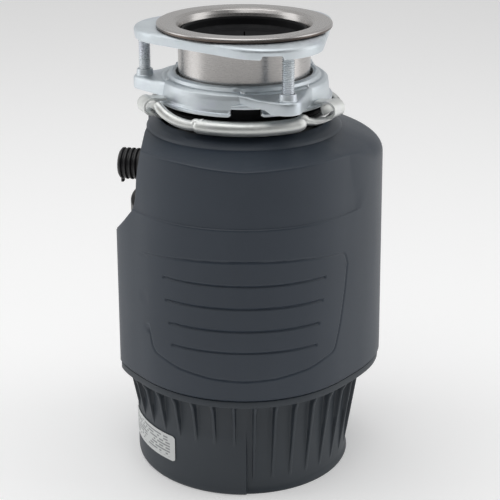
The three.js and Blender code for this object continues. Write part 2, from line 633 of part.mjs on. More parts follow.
function upperEndBell() {
  const bell = solid(turned([
    [13.5, 110], [18, 110], [18, 122], [58.4, 123.5], [58.4, STATOR_Z[1] + GAP],
    [STATOR_R, STATOR_Z[1] + GAP], [STATOR_R, 123], [66.5, 127], [66.5, 172.4],
    [FLANGE_R, 172.4], [FLANGE_R, BELL_TOP], [62.8, BELL_TOP], [62.8, 128], [19, 127],
    [19, 136], [13.5, 136],
  ], FINE));
  const tube = solid(outward(rod(PORT_BORE + 3, 56, PORT_FACE_Y - 4, 24), 180, PORT_Z));
  const face = new THREE.Shape();
  face.absarc(-30, 0, 9, rad(90), rad(270));
  face.absarc(0, 0, 22, rad(215), rad(325));
  face.absarc(30, 0, 9, rad(-90), rad(90));
  face.absarc(0, 0, 22, rad(35), rad(145));
  const plate = solid(slab(face, -PORT_FACE_Y, -PORT_FACE_Y + 5, 6).rotateX(Math.PI / 2)
    .translate(0, 0, PORT_Z));
  const cuts = [solid(outward(rod(PORT_BORE, 50, 95, 24), 180, PORT_Z))];
  for (const x of [-31, 31]) {
    cuts.push(solid(outward(rod(2.4, 80, 95), 180, PORT_Z).translate(x, 0, 0)));
  }
  for (const azimuth of FLANGE_SCREW_AZIMUTHS) {
    const at = polar(FLANGE_SCREW_R, azimuth);
    cuts.push(solid(rod(2.6, 165, 195).translate(at.x, at.y, 0)));
  }
  for (const azimuth of BOLT_AZIMUTHS) {
    const at = polar(BOLT_CIRCLE, azimuth);
    cuts.push(solid(rod(2.6, 100, 125.4).translate(at.x, at.y, 0)));
  }
  const bosses = BOLT_AZIMUTHS.map((azimuth) => {
    const at = polar(BOLT_CIRCLE, azimuth);
    return solid(rod(6, STATOR_Z[1] + 16, 124.5).translate(at.x, at.y, 0));
  });
  return cut(join([bell, tube, plate, ...bosses]), cuts);
}
add('upper_end_bell', upperEndBell(), castAlloy);

const containerScrew = () => turned([
  [0, 169], [2.2, 169], [2.2, 188.9], [4, 188.9], [4, 192], [0, 192],
], SMALL);
FLANGE_SCREW_AZIMUTHS.forEach((azimuth, i) =>
  add(`container_screw_${i + 1}`, containerScrew(), zinc, polar(FLANGE_SCREW_R, azimuth)));

function soundInsulation() {
  const sleeve = solid(turned([[70.6, 193], [81, 193], [81, 222], [76, 228], [70.6, 228]]));
  const left = box(60, 200, 60, [-92, 0, 210]);
  return cut(sleeve, [solid(left)]);
}
add('sound_insulation', soundInsulation(), foam);

// ---- motor ----
function rotorShaft() {
  const bar1 = solid(turned([
    [0, 14], [SHAFT_R, 14], [SHAFT_R, 174.6], [5, 174.6], [5, PLATE_Z + 10], [0, PLATE_Z + 10],
  ]));
  return cut(bar1, [solid(hexagon(3.8, 12, 24))]);
}
add('rotor_shaft', rotorShaft(), steel);
add('rotor_core', ring(SHAFT_R + GAP, ROTOR_R, STATOR_Z[0] + 1, STATOR_Z[1] - 1), laminations);

function rotorEndRing(low, high, bladeHigh) {
  const parts = [solid(ring(16, 29, low, high))];
  if (bladeHigh) {
    for (let i = 0; i < 8; i++) {
      parts.push(solid(toAzimuth(box(1.6, 9, bladeHigh - low, [0, -24, (low + bladeHigh) / 2]), i * 45)));
    }
  }
  return join(parts);
}
add('rotor_end_ring_upper', rotorEndRing(STATOR_Z[1] - 0.6, STATOR_Z[1] + 4, STATOR_Z[1] + 11), castAlloy);
add('rotor_end_ring_lower', rotorEndRing(STATOR_Z[0] - 3.6, STATOR_Z[0] + 0.6), castAlloy);
add('switch_actuator', turned([
  [SHAFT_R + GAP, 36], [20, 36], [20, 37.4], [12, 38], [11, 39.8], [SHAFT_R + GAP, 39.8],
]), blackPlastic);
add('thrust_washer', ring(SHAFT_R + GAP, 12, 34.2, 35.4), steel);
add('seal_slinger', turned([
  [SHAFT_R + GAP, 142.4], [17, 140.4], [17.6, 141.6], [SHAFT_R + GAP, 145],
]), blackRubber);
add('shaft_seal', ring(SHAFT_R + GAP, 12.8, 126, 135), blackRubber);
add('upper_bearing', ring(SHAFT_R + GAP, 13, 111, 125), bronze);
add('lower_bearing', ring(SHAFT_R + GAP, 13, 20, 33.6), bronze);

function statorCore() {
  const shape = new THREE.Shape().absarc(0, 0, STATOR_R, 0, 2 * Math.PI);
  const bore = new THREE.Path();
  const slots = 12;
  for (let i = 0; i < slots; i++) {
    const at = (offset, r) => {
      const angle = 2 * Math.PI * (i + offset) / slots;
      return [r * Math.cos(angle), r * Math.sin(angle)];
    };
    const steps = [[0, STATOR_BORE], [0.4, STATOR_BORE], [0.3, 44], [0.95, 44]];
    steps.forEach(([offset, r], k) =>
      (i === 0 && k === 0 ? bore.moveTo(...at(offset, r)) : bore.lineTo(...at(offset, r))));
  }
  bore.closePath();
  shape.holes.push(bore);
  const holes = BOLT_AZIMUTHS.map((azimuth) => {
    const at = polar(BOLT_CIRCLE, azimuth);
    return solid(rod(2.6, 30, 110).translate(at.x, at.y, 0));
  });
  return cut(solid(slab(shape, STATOR_Z[0], STATOR_Z[1], 16)), holes);
}
add('stator_core', statorCore(), laminations);

const coil = (low, high) => turned([
  [34, low + 2], [36, low], [49, low], [51, low + 2], [51, high - 2], [49, high], [36, high],
  [34, high - 2],
]);
add('winding_lower', coil(STATOR_Z[0] - 15, STATOR_Z[0] - GAP), copper);
add('winding_upper', coil(STATOR_Z[1] + GAP, STATOR_Z[1] + 15), copper);

const throughBolt = () => turned([
  [0, 17.6], [4.2, 17.6], [4.2, 20.6], [2.2, 20.6], [2.2, 124.6], [0, 124.6],
], 8);
BOLT_AZIMUTHS.forEach((azimuth, i) =>
  add(`through_bolt_${i + 1}`, throughBolt(), zinc, polar(BOLT_CIRCLE, azimuth)));

function lowerEndFrame() {
  const cup = solid(turned([
    [13.5, 19], [18, 19], [18, 21], [STATOR_R, 21], [STATOR_R, STATOR_Z[0] - GAP],
    [58.4, STATOR_Z[0] - GAP], [58.4, 24], [18, 24], [18, 34], [13.5, 34],
  ], FINE));
  const holes = [];
  for (const azimuth of BOLT_AZIMUTHS) {
    const at = polar(BOLT_CIRCLE, azimuth);
    holes.push(solid(rod(2.6, 15, 30).translate(at.x, at.y, 0)));
  }
  const bosses = BASE_SCREW.azimuths.map((azimuth) => {
    const at = polar(BASE_SCREW.radius, azimuth);
    holes.push(solid(rod(BASE_SCREW.hole, 5, 19.6, SMALL).translate(at.x, at.y, 0)));
    return solid(rod(5, FLOOR_Z + FLOOR_THICK + GAP, 22, SMALL).translate(at.x, at.y, 0));
  });
  return cut(join([cup, ...bosses]), holes);
}
add('lower_end_frame', lowerEndFrame(), castAlloy);

add('start_switch', toAzimuth(box(14, 8, 11, [0, -26, 30]), 300), blackPlastic);

// ---- underside ----
const resetSpot = polar(RESET.radius, RESET.azimuth);
function overloadProtector() {
  const can = solid(box(20, 16, 11, [0, 0, 14.6]));
  return cut(can, [solid(rod(4.2, 5, 16))]);
}
add('overload_protector', overloadProtector(), blackPlastic, resetSpot, RESET.azimuth);
add('reset_button', turned([
  [0, 4.6], [3, 4.6], [3.8, 5.2], [3.8, 15], [0, 15],
], SMALL), red, resetSpot);

function terminalCover() {
  const plate = solid(box(TERMINAL.width, TERMINAL.depth, 1.2, [0, 0, FLOOR_Z - GAP - 0.6]));
  return cut(plate, [solid(rod(2.3, 0, 8).translate(14, 0, 0))]);
}
const terminalSpot = polar(TERMINAL.radius, TERMINAL.azimuth);
add('terminal_cover', terminalCover(), zinc, terminalSpot, TERMINAL.azimuth);

const panScrew = (length) => turned([
  [0, 1.4], [3.2, 1.4], [4, 2.4], [4, 3.4], [2, 3.4], [2, 3.4 + length], [0, 3.4 + length],
], SMALL);
const coverScrewSpot = terminalSpot.clone().add(
  new THREE.Vector3(14, 0, 0).applyAxisAngle(new THREE.Vector3(0, 0, 1), rad(TERMINAL.azimuth)));
add('terminal_screw', panScrew(1.8), zinc, coverScrewSpot);
add('ground_screw', panScrew(1.8), green, polar(26, CONDUIT.azimuth));
BASE_SCREW.azimuths.forEach((azimuth, i) =>
  add(`base_screw_${i + 1}`, panScrew(15), zinc, polar(BASE_SCREW.radius, azimuth)));

// ---- origin: middle of the footprint, at the surface that the unit stands on ----
const bounds = new THREE.Box3().setFromObject(unit);
const centre = bounds.getCenter(new THREE.Vector3());
unit.position.set(-centre.x, -centre.y, -bounds.min.z);
const disposal = new THREE.Group();
disposal.add(unit);

export default disposal;
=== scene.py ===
# Kitchen garbage disposal: fine pieces, materials, light and camera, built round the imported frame.
# Sizes are in millimetres and become metres through MM. Material scales and distances are in metres.
# Azimuths are degrees round the rotor axis: 0 is the front (-Y), 90 the right side, -90 the left side.
import json
import math
import bpy
import bmesh
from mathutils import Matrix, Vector


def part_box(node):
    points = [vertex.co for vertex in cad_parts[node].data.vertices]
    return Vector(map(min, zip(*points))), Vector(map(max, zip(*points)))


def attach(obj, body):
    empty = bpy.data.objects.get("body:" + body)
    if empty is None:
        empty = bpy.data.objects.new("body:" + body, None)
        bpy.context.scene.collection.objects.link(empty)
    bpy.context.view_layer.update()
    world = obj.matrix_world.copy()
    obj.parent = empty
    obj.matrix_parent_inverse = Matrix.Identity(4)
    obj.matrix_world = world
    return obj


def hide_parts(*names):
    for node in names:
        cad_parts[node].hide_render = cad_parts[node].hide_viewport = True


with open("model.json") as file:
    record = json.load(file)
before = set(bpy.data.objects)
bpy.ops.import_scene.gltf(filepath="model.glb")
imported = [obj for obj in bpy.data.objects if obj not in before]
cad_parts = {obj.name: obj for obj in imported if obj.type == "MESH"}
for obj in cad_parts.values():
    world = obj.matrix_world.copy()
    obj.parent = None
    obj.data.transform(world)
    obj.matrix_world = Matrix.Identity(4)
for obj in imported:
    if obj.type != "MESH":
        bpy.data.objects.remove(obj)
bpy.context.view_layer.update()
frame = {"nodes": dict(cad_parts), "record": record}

MM = 0.001
low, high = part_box("sink_flange")
AXIS_X = (low.x + high.x) / 2
AXIS_Y = (low.y + high.y) / 2
UP = Vector((0, 0, 1))


# ---------------------------------------------------------------- geometry helpers
def polar(radius, azimuth, z):
    """A point in metres from a radius and height in millimetres and an azimuth in degrees."""
    a = math.radians(azimuth)
    return Vector((AXIS_X + radius * MM * math.sin(a), AXIS_Y - radius * MM * math.cos(a), z * MM))


def flat(x, y, z):
    """A point in metres from millimetres across, behind and above the rotor axis's foot."""
    return Vector((AXIS_X + x * MM, AXIS_Y + y * MM, z * MM))


def lerp(a, b, t):
    return a + (b - a) * t


def clamp(x, a=0.0, b=1.0):
    return max(a, min(b, x))


def smooth(x, a, b):
    t = clamp((x - a) / (b - a))
    return t * t * (3 - 2 * t)


def along(points, x):
    """Straight-line interpolation through [(x, y), ...]."""
    if x <= points[0][0]:
        return points[0][1]
    for (x0, y0), (x1, y1) in zip(points, points[1:]):
        if x <= x1:
            return lerp(y0, y1, (x - x0) / (x1 - x0))
    return points[-1][1]


def rounded(corners, closed=True, steps=5):
    """A 2-D outline from [(x, y, corner radius), ...] with its corners rounded by arcs."""
    out = []
    count = len(corners)
    for i, (x, y, r) in enumerate(corners):
        here = Vector((x, y))
        if r <= 0 or (not closed and i in (0, count - 1)):
            out.append((x, y))
            continue
        back = Vector(corners[i - 1][:2]) - here
        ahead = Vector(corners[(i + 1) % count][:2]) - here
        room = 0.48 * min(back.length, ahead.length)
        back.normalize()
        ahead.normalize()
        half = math.acos(clamp(back.dot(ahead), -0.9999, 0.9999)) / 2
        reach = min(r / math.tan(half), room)
        r = reach * math.tan(half)
        centre = here + (back + ahead).normalized() * (r / math.sin(half))
        a0 = here + back * reach - centre
        a1 = here + ahead * reach - centre
        turn = a0.angle_signed(a1)
        for k in range(steps + 1):
            v = a0.copy()
            angle = -turn * k / steps
            c, s = math.cos(angle), math.sin(angle)
            out.append((centre.x + v.x * c - v.y * s, centre.y + v.x * s + v.y * c))
    return out


def mesh_object(name, verts, faces, sharp=35.0, closed=True):
    """A smooth-shaded object. An open sheet keeps its own facing, a closed body is turned to face out."""
    mesh = bpy.data.meshes.new(name)
    mesh.from_pydata([tuple(v) for v in verts], [], faces)
    bm = bmesh.new()
    bm.from_mesh(mesh)
    bmesh.ops.remove_doubles(bm, verts=bm.verts, dist=2e-6)
    bmesh.ops.dissolve_degenerate(bm, edges=bm.edges, dist=1e-7)
    bmesh.ops.delete(bm, geom=[v for v in bm.verts if not v.link_faces], context="VERTS")
    if closed:
        bmesh.ops.recalc_face_normals(bm, faces=bm.faces)
    bm.to_mesh(mesh)
    bm.free()
    mesh.shade_smooth()
    mesh.set_sharp_from_angle(angle=math.radians(sharp))
    obj = bpy.data.objects.new(name, mesh)
    bpy.context.scene.collection.objects.link(obj)
    return obj


def grid(rows, wrap_rows=False, wrap_columns=False, keep=None):
    """Vertices and quads of a grid of points. keep(row, column) drops faces when it is false."""
    verts = [p for row in rows for p in row]
    height, width = len(rows), len(rows[0])
    faces = []
    for i in range(height if wrap_rows else height - 1):
        for j in range(width if wrap_columns else width - 1):
            if keep and not keep(i, j):
                continue
            i1, j1 = (i + 1) % height, (j + 1) % width
            faces.append((i * width + j, i * width + j1, i1 * width + j1, i1 * width + j))
    return verts, faces


def lathe_data(profile, columns=192, centre=Vector()):
    """A closed section turned about the rotor axis, or about a line that lies at centre from it."""
    rows = [[polar(r, 360.0 * k / columns, z) + centre for k in range(columns)] for r, z in profile]
    return grid(rows, wrap_rows=True, wrap_columns=True)


def lathe(name, profile, columns=192):
    return mesh_object(name, *lathe_data(profile, columns))


def joined(parts):
    """Several (vertices, faces) pairs as one pair."""
    verts, faces = [], []
    for v, f in parts:
        start = len(verts)
        verts.extend(v)
        faces.extend(tuple(k + start for k in face) for face in f)
    return verts, faces


def merged(name, parts, sharp=35.0):
    """One object from several closed (vertices, faces) pairs."""
    return mesh_object(name, *joined(parts), sharp=sharp)


def capped(rows):
    """A tube from closed sections, with a fan cap at each end."""
    verts, faces = grid(rows, wrap_columns=True)
    width = len(rows[0])
    for first in (0, (len(rows) - 1) * width):
        centre = sum((verts[first + k] for k in range(width)), Vector()) / width
        verts.append(centre)
        tip = len(verts) - 1
        faces.extend((first + k, first + (k + 1) % width, tip) for k in range(width))
    return verts, faces


def sweep(points, section):
    """Closed sections carried along points. section(t) gives [(side, up), ...] in metres."""
    rows = []
    last = len(points) - 1
    for i, point in enumerate(points):
        ahead = points[min(i + 1, last)] - points[max(i - 1, 0)]
        ahead.normalize()
        side = ahead.cross(UP).normalized()
        lift = side.cross(ahead).normalized()
        rows.append([point + side * a + lift * b for a, b in section(i / last)])
    return capped(rows)


def oval(width, height, sides=20):
    return [(width * math.cos(2 * math.pi * k / sides), height * math.sin(2 * math.pi * k / sides))
            for k in range(sides)]


def modifier(obj, kind, **settings):
    m = obj.modifiers.new(kind.lower(), kind)
    for key, value in settings.items():
        setattr(m, key, value)
    return m


def baked(obj, sharp=35.0):
    """Applies the modifiers, so that the piece is a plain mesh."""
    depsgraph = bpy.context.evaluated_depsgraph_get()
    mesh = bpy.data.meshes.new_from_object(obj.evaluated_get(depsgraph))
    obj.modifiers.clear()
    obj.data = mesh
    mesh.shade_smooth()
    mesh.set_sharp_from_angle(angle=math.radians(sharp))
    return obj


def softened(obj, width, segments=2, angle=40.0, sharp=45.0):
    modifier(obj, "BEVEL", width=width * MM, segments=segments, limit_method="ANGLE",
             angle_limit=math.radians(angle), harden_normals=False)
    return baked(obj, sharp)


def sheet(obj, thickness, edge, offset=-1.0, segments=2, angle=50.0, sharp=40.0):
    """Gives an open surface the thickness of its sheet and softens the edges."""
    modifier(obj, "SOLIDIFY", thickness=thickness * MM, offset=offset)
    baked(obj)
    return softened(obj, edge, segments, angle, sharp)


def prism(near, far):
    """A body between two outlines of points that lie opposite each other, as (vertices, faces)."""
    count = len(near)
    faces = [tuple(reversed(range(count))), tuple(range(count, 2 * count))]
    faces += [(k, (k + 1) % count, (k + 1) % count + count, k + count) for k in range(count)]
    return near + far, faces


def extruded(points, z0, z1):
    """An upright prism from an outline of points (x, y)."""
    return prism([flat(x, y, z0) for x, y in points], [flat(x, y, z1) for x, y in points])


def drilled(obj, tools):
    """Cuts the tools (vertices, faces) out of an object."""
    cutter = merged("cutter", tools)
    modifier(obj, "BOOLEAN", operation="DIFFERENCE", object=cutter, solver="EXACT")
    baked(obj)
    bpy.data.objects.remove(cutter)
    return obj


def circle(x, y, radius, count=40):
    return [(x + radius * math.cos(2 * math.pi * k / count), y + radius * math.sin(2 * math.pi * k / count))
            for k in range(count)]


def spot(radius, azimuth):
    """(x, y) in millimetres from the rotor axis."""
    a = math.radians(azimuth)
    return radius * math.sin(a), -radius * math.cos(a)


def turned_to(data, azimuth):
    """Turns vertices drawn at the front round the rotor axis."""
    verts, faces = data
    a = math.radians(azimuth)
    c, s = math.cos(a), math.sin(a)
    out = []
    for v in verts:
        x, y = v.x - AXIS_X, v.y - AXIS_Y
        out.append(Vector((AXIS_X + c * x - s * y, AXIS_Y + s * x + c * y, v.z)))
    return out, faces


def place(obj, body, slot, node, material=None):
    """Hands a fine piece over: its material, the body it rides on and the node it replaces."""
    obj.data.materials.clear()
    obj.data.materials.append(material or MATERIALS[slot])
    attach(obj, body)
    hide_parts(node)
    return obj


def turned_piece(name, corners, columns, body, slot, node, steps=4, material=None):
    """A piece turned about the rotor axis from a section with rounded corners."""
    return place(lathe(name, rounded(corners, steps=steps), columns), body, slot, node, material)


# ---------------------------------------------------------------- materials
class Nodes:
    """A small helper that wires a Principled material."""

    def __init__(self, name):
        self.material = bpy.data.materials.new(name)
        self.material.use_nodes = True
        self.tree = self.material.node_tree
        self.shader = self.tree.nodes["Principled BSDF"]
        self.coords = self.add("ShaderNodeTexCoord").outputs["Object"]

    def add(self, kind, **settings):
        node = self.tree.nodes.new(kind)
        for key, value in settings.items():
            setattr(node, key, value)
        return node

    def link(self, a, b):
        self.tree.links.new(a, b)

    def feed(self, node, socket, value):
        if isinstance(value, bpy.types.NodeSocket):
            self.link(value, node.inputs[socket])
        else:
            node.inputs[socket].default_value = value

    def set(self, **values):
        for key, value in values.items():
            self.shader.inputs[key.replace("_", " ")].default_value = value

    def noise(self, scale, detail=3.0, rough=0.5, vector=None, distortion=0.0):
        node = self.add("ShaderNodeTexNoise")
        self.link(vector or self.coords, node.inputs["Vector"])
        self.feed(node, "Scale", scale)
        self.feed(node, "Detail", detail)
        self.feed(node, "Roughness", rough)
        self.feed(node, "Distortion", distortion)
        return node.outputs["Fac"]

    def voronoi(self, scale, output="Distance"):
        node = self.add("ShaderNodeTexVoronoi")
        self.link(self.coords, node.inputs["Vector"])
        self.feed(node, "Scale", scale)
        return node.outputs[output]

    def math(self, operation, a, b=0.0, c=0.0):
        node = self.add("ShaderNodeMath", operation=operation)
        for index, value in enumerate((a, b, c)):
            self.feed(node, index, value)
        return node.outputs[0]

    def within(self, value, low, high):
        """1 where the value lies between two numbers."""
        above = self.math("GREATER_THAN", value, low)
        return self.math("MULTIPLY", above, self.math("LESS_THAN", value, high))

    def mix(self, fac, a, b, blend="MIX"):
        node = self.add("ShaderNodeMix", data_type="RGBA", blend_type=blend)
        self.feed(node, 0, fac)
        for index, colour in ((6, a), (7, b)):
            self.feed(node, index, (*colour, 1) if isinstance(colour, tuple) else colour)
        return node.outputs[2]

    def range(self, value, low_out, high_out, low_in=0.0, high_in=1.0):
        node = self.add("ShaderNodeMapRange")
        self.link(value, node.inputs["Value"])
        for socket, number in zip(("From Min", "From Max", "To Min", "To Max"),
                                  (low_in, high_in, low_out, high_out)):
            node.inputs[socket].default_value = number
        return node.outputs["Result"]

    def stretched(self, x, y, z):
        node = self.add("ShaderNodeMapping")
        self.link(self.coords, node.inputs["Vector"])
        node.inputs["Scale"].default_value = (x, y, z)
        return node.outputs["Vector"]

    def about_axis(self):
        """(angle, radius, height) about the rotor axis, as separate values."""
        move = self.add("ShaderNodeVectorMath", operation="SUBTRACT")
        self.link(self.coords, move.inputs[0])
        move.inputs[1].default_value = (AXIS_X, AXIS_Y, 0)
        split = self.add("ShaderNodeSeparateXYZ")
        self.link(move.outputs[0], split.inputs[0])
        x, y, z = split.outputs
        angle = self.math("ARCTAN2", x, self.math("MULTIPLY", y, -1.0))
        radius = self.math("SQRT", self.math("ADD", self.math("MULTIPLY", x, x), self.math("MULTIPLY", y, y)))
        return angle, radius, z

    def combine(self, x, y, z):
        node = self.add("ShaderNodeCombineXYZ")
        for index, value in enumerate((x, y, z)):
            self.feed(node, index, value)
        return node.outputs[0]

    def painted_edge_highlight(self):
        """1 on edges, from a bevelled normal compared with the true one; it marks where the edges get a
        painted highlight.
        """
        bevel = self.add("ShaderNodeBevel", samples=4)
        bevel.inputs["Radius"].default_value = 0.0012
        geometry = self.add("ShaderNodeNewGeometry")
        dot = self.add("ShaderNodeVectorMath", operation="DOT_PRODUCT")
        self.link(bevel.outputs[0], dot.inputs[0])
        self.link(geometry.outputs["Normal"], dot.inputs[1])
        return self.range(dot.outputs["Value"], 1.0, 0.0, 0.90, 0.995)

    def paint(self, colour):
        self.link(colour, self.shader.inputs["Base Color"])

    def roughen(self, value, *limits):
        """Roughness from a value; limits are range()'s."""
        self.link(self.range(value, *limits), self.shader.inputs["Roughness"])

    def cloudy(self, value, dark, light):
        """The base colour: dark to light, as the value runs over the middle of a noise."""
        self.paint(self.mix(self.range(value, 0.0, 1.0, 0.3, 0.7), dark, light))

    def bump(self, *layers):
        """layers are (height, strength, distance in metres); they stack."""
        normal = None
        for height, strength, distance in layers:
            node = self.add("ShaderNodeBump")
            self.link(height, node.inputs["Height"])
            node.inputs["Strength"].default_value = strength
            node.inputs["Distance"].default_value = distance
            if normal is not None:
                self.link(normal, node.inputs["Normal"])
            normal = node.outputs["Normal"]
        self.link(normal, self.shader.inputs["Normal"])
        return self.material


def moulded(name, colour, lighter, roughness, grain=0.35):
    """Satin moulded plastic: spark-eroded grain, faint flow marks and rubbed patches."""
    n = Nodes(name)
    cloud = n.noise(9.0, 4.0, 0.6)
    flow = n.noise(26.0, 3.0, 0.55, vector=n.stretched(1, 1, 0.25))
    tone = n.mix(n.range(cloud, 0.0, 1.0, 0.35, 0.68), colour, lighter)
    fine = n.noise(900.0, 2.0, 0.6)
    tone = n.mix(n.range(fine, 0.0, 0.10, 0.4, 0.8), tone, (1, 1, 1), "SOFT_LIGHT")
    n.paint(tone)
    mixed = n.math("ADD", n.math("MULTIPLY", flow, 0.6), n.math("MULTIPLY", fine, 0.4))
    n.roughen(mixed, roughness - 0.07, roughness + 0.07, 0.3, 0.7)
    n.set(IOR=1.5)
    pits = n.voronoi(1500.0)
    return n.bump((pits, grain, 0.00006), (fine, grain * 0.8, 0.00008), (flow, 0.05, 0.0006))


def rubber(name, colour):
    """Matt rubber with a little dust."""
    n = Nodes(name)
    cloud = n.noise(30.0, 4.0, 0.6)
    dust = n.noise(140.0, 5.0, 0.7)
    tone = n.mix(n.range(dust, 0.0, 0.5, 0.55, 0.75), colour, tuple(c * 2.6 + 0.004 for c in colour))
    n.paint(tone)
    n.roughen(cloud, 0.52, 0.74, 0.3, 0.7)
    n.set(IOR=1.28)
    return n.bump((n.noise(1200.0, 3.0, 0.6), 0.35, 0.00006), (cloud, 0.08, 0.0005))


def plated(name, dark, light, roughness, spangle, tint):
    """Zinc plate: fine crystals, faint violet and yellow passivation, drawn marks and a painted highlight on
    the edges.
    """
    n = Nodes(name)
    grey = n.add("ShaderNodeRGBToBW")
    n.link(n.voronoi(520.0, output="Color"), grey.inputs[0])
    crystal = grey.outputs[0]
    cloud = n.noise(38.0, 5.0, 0.62, distortion=0.6)
    passivation = n.noise(60.0, 3.0, 0.5)
    tone = n.mix(n.range(cloud, 0.0, 1.0, 0.32, 0.7), dark, light)
    tone = n.mix(n.range(crystal, 0.0, 0.14 * spangle), tone, (1, 1, 1), "OVERLAY")
    tone = n.mix(n.range(passivation, 0.0, 0.32, 0.52, 0.72), tone, tint)
    # The plate's edges are mixed towards pale grey: a painted highlight.
    n.paint(n.mix(n.range(n.painted_edge_highlight(), 0.0, 0.5), tone, (0.86, 0.87, 0.88)))
    rough = n.math("ADD", n.range(crystal, -0.05, 0.06),
                   n.range(cloud, roughness - 0.07, roughness + 0.10, 0.3, 0.7))
    n.link(rough, n.shader.inputs["Roughness"])
    n.set(Metallic=0.85)
    dents = n.noise(34.0, 3.0, 0.6)
    return n.bump((n.noise(260.0, 4.0, 0.65), 0.22, 0.00018), (crystal, 0.06, 0.00006), (dents, 0.12, 0.0006))


def brushed(name, dark, light, roughness, lip=None):
    """Drawn steel: fine lines round the axis, faint heat marks, and an oxidised lip between two heights."""
    n = Nodes(name)
    angle, radius, height = n.about_axis()
    lines = n.combine(n.math("MULTIPLY", angle, 2.2), n.math("MULTIPLY", radius, 900.0),
                      n.math("MULTIPLY", height, 900.0))
    streak = n.noise(3.4, 5.0, 0.7, vector=lines)
    cloud = n.noise(24.0, 4.0, 0.6)
    tone = n.mix(n.range(streak, 0.0, 1.0, 0.3, 0.7), dark, light)
    tone = n.mix(n.range(cloud, 0.0, 0.10, 0.45, 0.75), tone, (0.30, 0.27, 0.25))
    if lip:
        low_z, high_z, inner_r = lip
        band = n.math("MULTIPLY", n.range(height, 1.0, 0.0, (high_z - 0.35) * MM, high_z * MM),
                      n.math("GREATER_THAN", height, low_z * MM))
        band = n.math("MULTIPLY", band, n.math("GREATER_THAN", radius, inner_r * MM))
        tone = n.mix(n.math("MULTIPLY", band, n.range(cloud, 0.75, 1.0)), tone, (0.085, 0.058, 0.045))
    n.paint(tone)
    n.roughen(streak, roughness - 0.06, roughness + 0.08, 0.25, 0.75)
    n.set(Metallic=1.0)
    return n.bump((streak, 0.02, 0.00004), (n.noise(15.0, 2.0, 0.5), 0.02, 0.0006))


def cast(name, dark, light, roughness=0.5):
    """Grainy cast or sintered metal."""
    n = Nodes(name)
    grain = n.noise(420.0, 4.0, 0.65)
    cloud = n.noise(20.0, 4.0, 0.6)
    n.cloudy(cloud, dark, light)
    n.roughen(grain, roughness - 0.1, roughness + 0.12, 0.3, 0.7)
    n.set(Metallic=1.0)
    return n.bump((grain, 0.4, 0.0002), (n.voronoi(180.0), 0.1, 0.0003))


def laminated(name):
    """A stack of thin steel sheets: fine rings across the height."""
    n = Nodes(name)
    split = n.add("ShaderNodeSeparateXYZ")
    n.link(n.coords, split.inputs[0])
    sheet_pitch = 0.0006
    sheets = n.math("SINE", n.math("MULTIPLY", split.outputs[2], 2 * math.pi / sheet_pitch))
    cloud = n.noise(60.0, 4.0, 0.6)
    n.cloudy(cloud, (0.07, 0.075, 0.08), (0.16, 0.16, 0.165))
    n.roughen(cloud, 0.42, 0.62, 0.3, 0.7)
    n.set(Metallic=1.0)
    return n.bump((sheets, 0.5, 0.0001))


def wound(name):
    """Enamelled copper wire laid round the coil."""
    n = Nodes(name)
    _, radius, height = n.about_axis()
    wire_pitch = 0.0009
    wires = n.math("SINE", n.math("MULTIPLY", n.math("ADD", radius, height), 2 * math.pi / wire_pitch))
    cloud = n.noise(90.0, 4.0, 0.6)
    n.cloudy(cloud, (0.30, 0.09, 0.03), (0.52, 0.20, 0.07))
    n.roughen(cloud, 0.25, 0.45, 0.3, 0.7)
    n.set(Metallic=0.85, Coat_Weight=0.4)
    return n.bump((wires, 0.6, 0.00025))


def fibrous(name, colour):
    """Pressed fibre in thin layers."""
    n = Nodes(name)
    hair = n.noise(60.0, 5.0, 0.7, vector=n.stretched(1, 1, 14))
    n.paint(n.mix(hair, colour, tuple(c * 2.4 for c in colour)))
    n.roughen(hair, 0.75, 0.95)
    return n.bump((hair, 0.5, 0.0002))


def foamed(name, colour):
    """Open-celled foam."""
    n = Nodes(name)
    cells = n.voronoi(420.0)
    n.paint(n.mix(n.range(cells, 0.0, 1.0, 0.0, 0.8), tuple(c * 0.6 for c in colour), colour))
    n.roughen(cells, 0.85, 0.98)
    return n.bump((cells, 0.8, 0.0006))


def printed_label(name):
    """A pale sticker with grey bars standing in for its small print."""
    line_count, cell_count, margin_x, margin_z = 9.0, 26.0, 0.08, 0.10
    n = Nodes(name)
    angle, _, height = n.about_axis()
    z = n.math("DIVIDE", n.math("SUBTRACT", height, LABEL_Z[0] * MM), (LABEL_Z[1] - LABEL_Z[0]) * MM)
    degrees = n.math("MULTIPLY", angle, 180 / math.pi)
    across = n.math("DIVIDE", n.math("SUBTRACT", degrees, LABEL_AZ[0]), LABEL_AZ[1] - LABEL_AZ[0])
    line = n.math("MULTIPLY", z, line_count)
    inside_line = n.math("GREATER_THAN", n.math("FRACT", line), 0.45)
    blocks = n.add("ShaderNodeTexWhiteNoise", noise_dimensions="2D")
    cell = n.combine(n.math("FLOOR", n.math("MULTIPLY", across, cell_count)), n.math("FLOOR", line), 0.0)
    n.link(cell, blocks.inputs["Vector"])
    inked = n.math("GREATER_THAN", blocks.outputs["Value"], 0.36)
    inside_frame = n.math("MULTIPLY", n.within(across, margin_x, 1 - margin_x),
                          n.within(z, margin_z, 1 - margin_z))
    ink = n.math("MULTIPLY", n.math("MULTIPLY", inside_line, inked), inside_frame)
    paper = n.mix(n.noise(50.0, 4.0, 0.6), (0.60, 0.62, 0.62), (0.70, 0.71, 0.70))
    n.paint(n.mix(n.math("MULTIPLY", ink, 0.7), paper, (0.10, 0.11, 0.12)))
    n.roughen(n.noise(200.0), 0.38, 0.55)
    return n.bump((n.noise(40.0, 3.0, 0.5), 0.15, 0.0003))


LABEL_Z = (17.0, 36.0)
LABEL_AZ = (-82.0, -38.0)
LABEL_R = 76.62

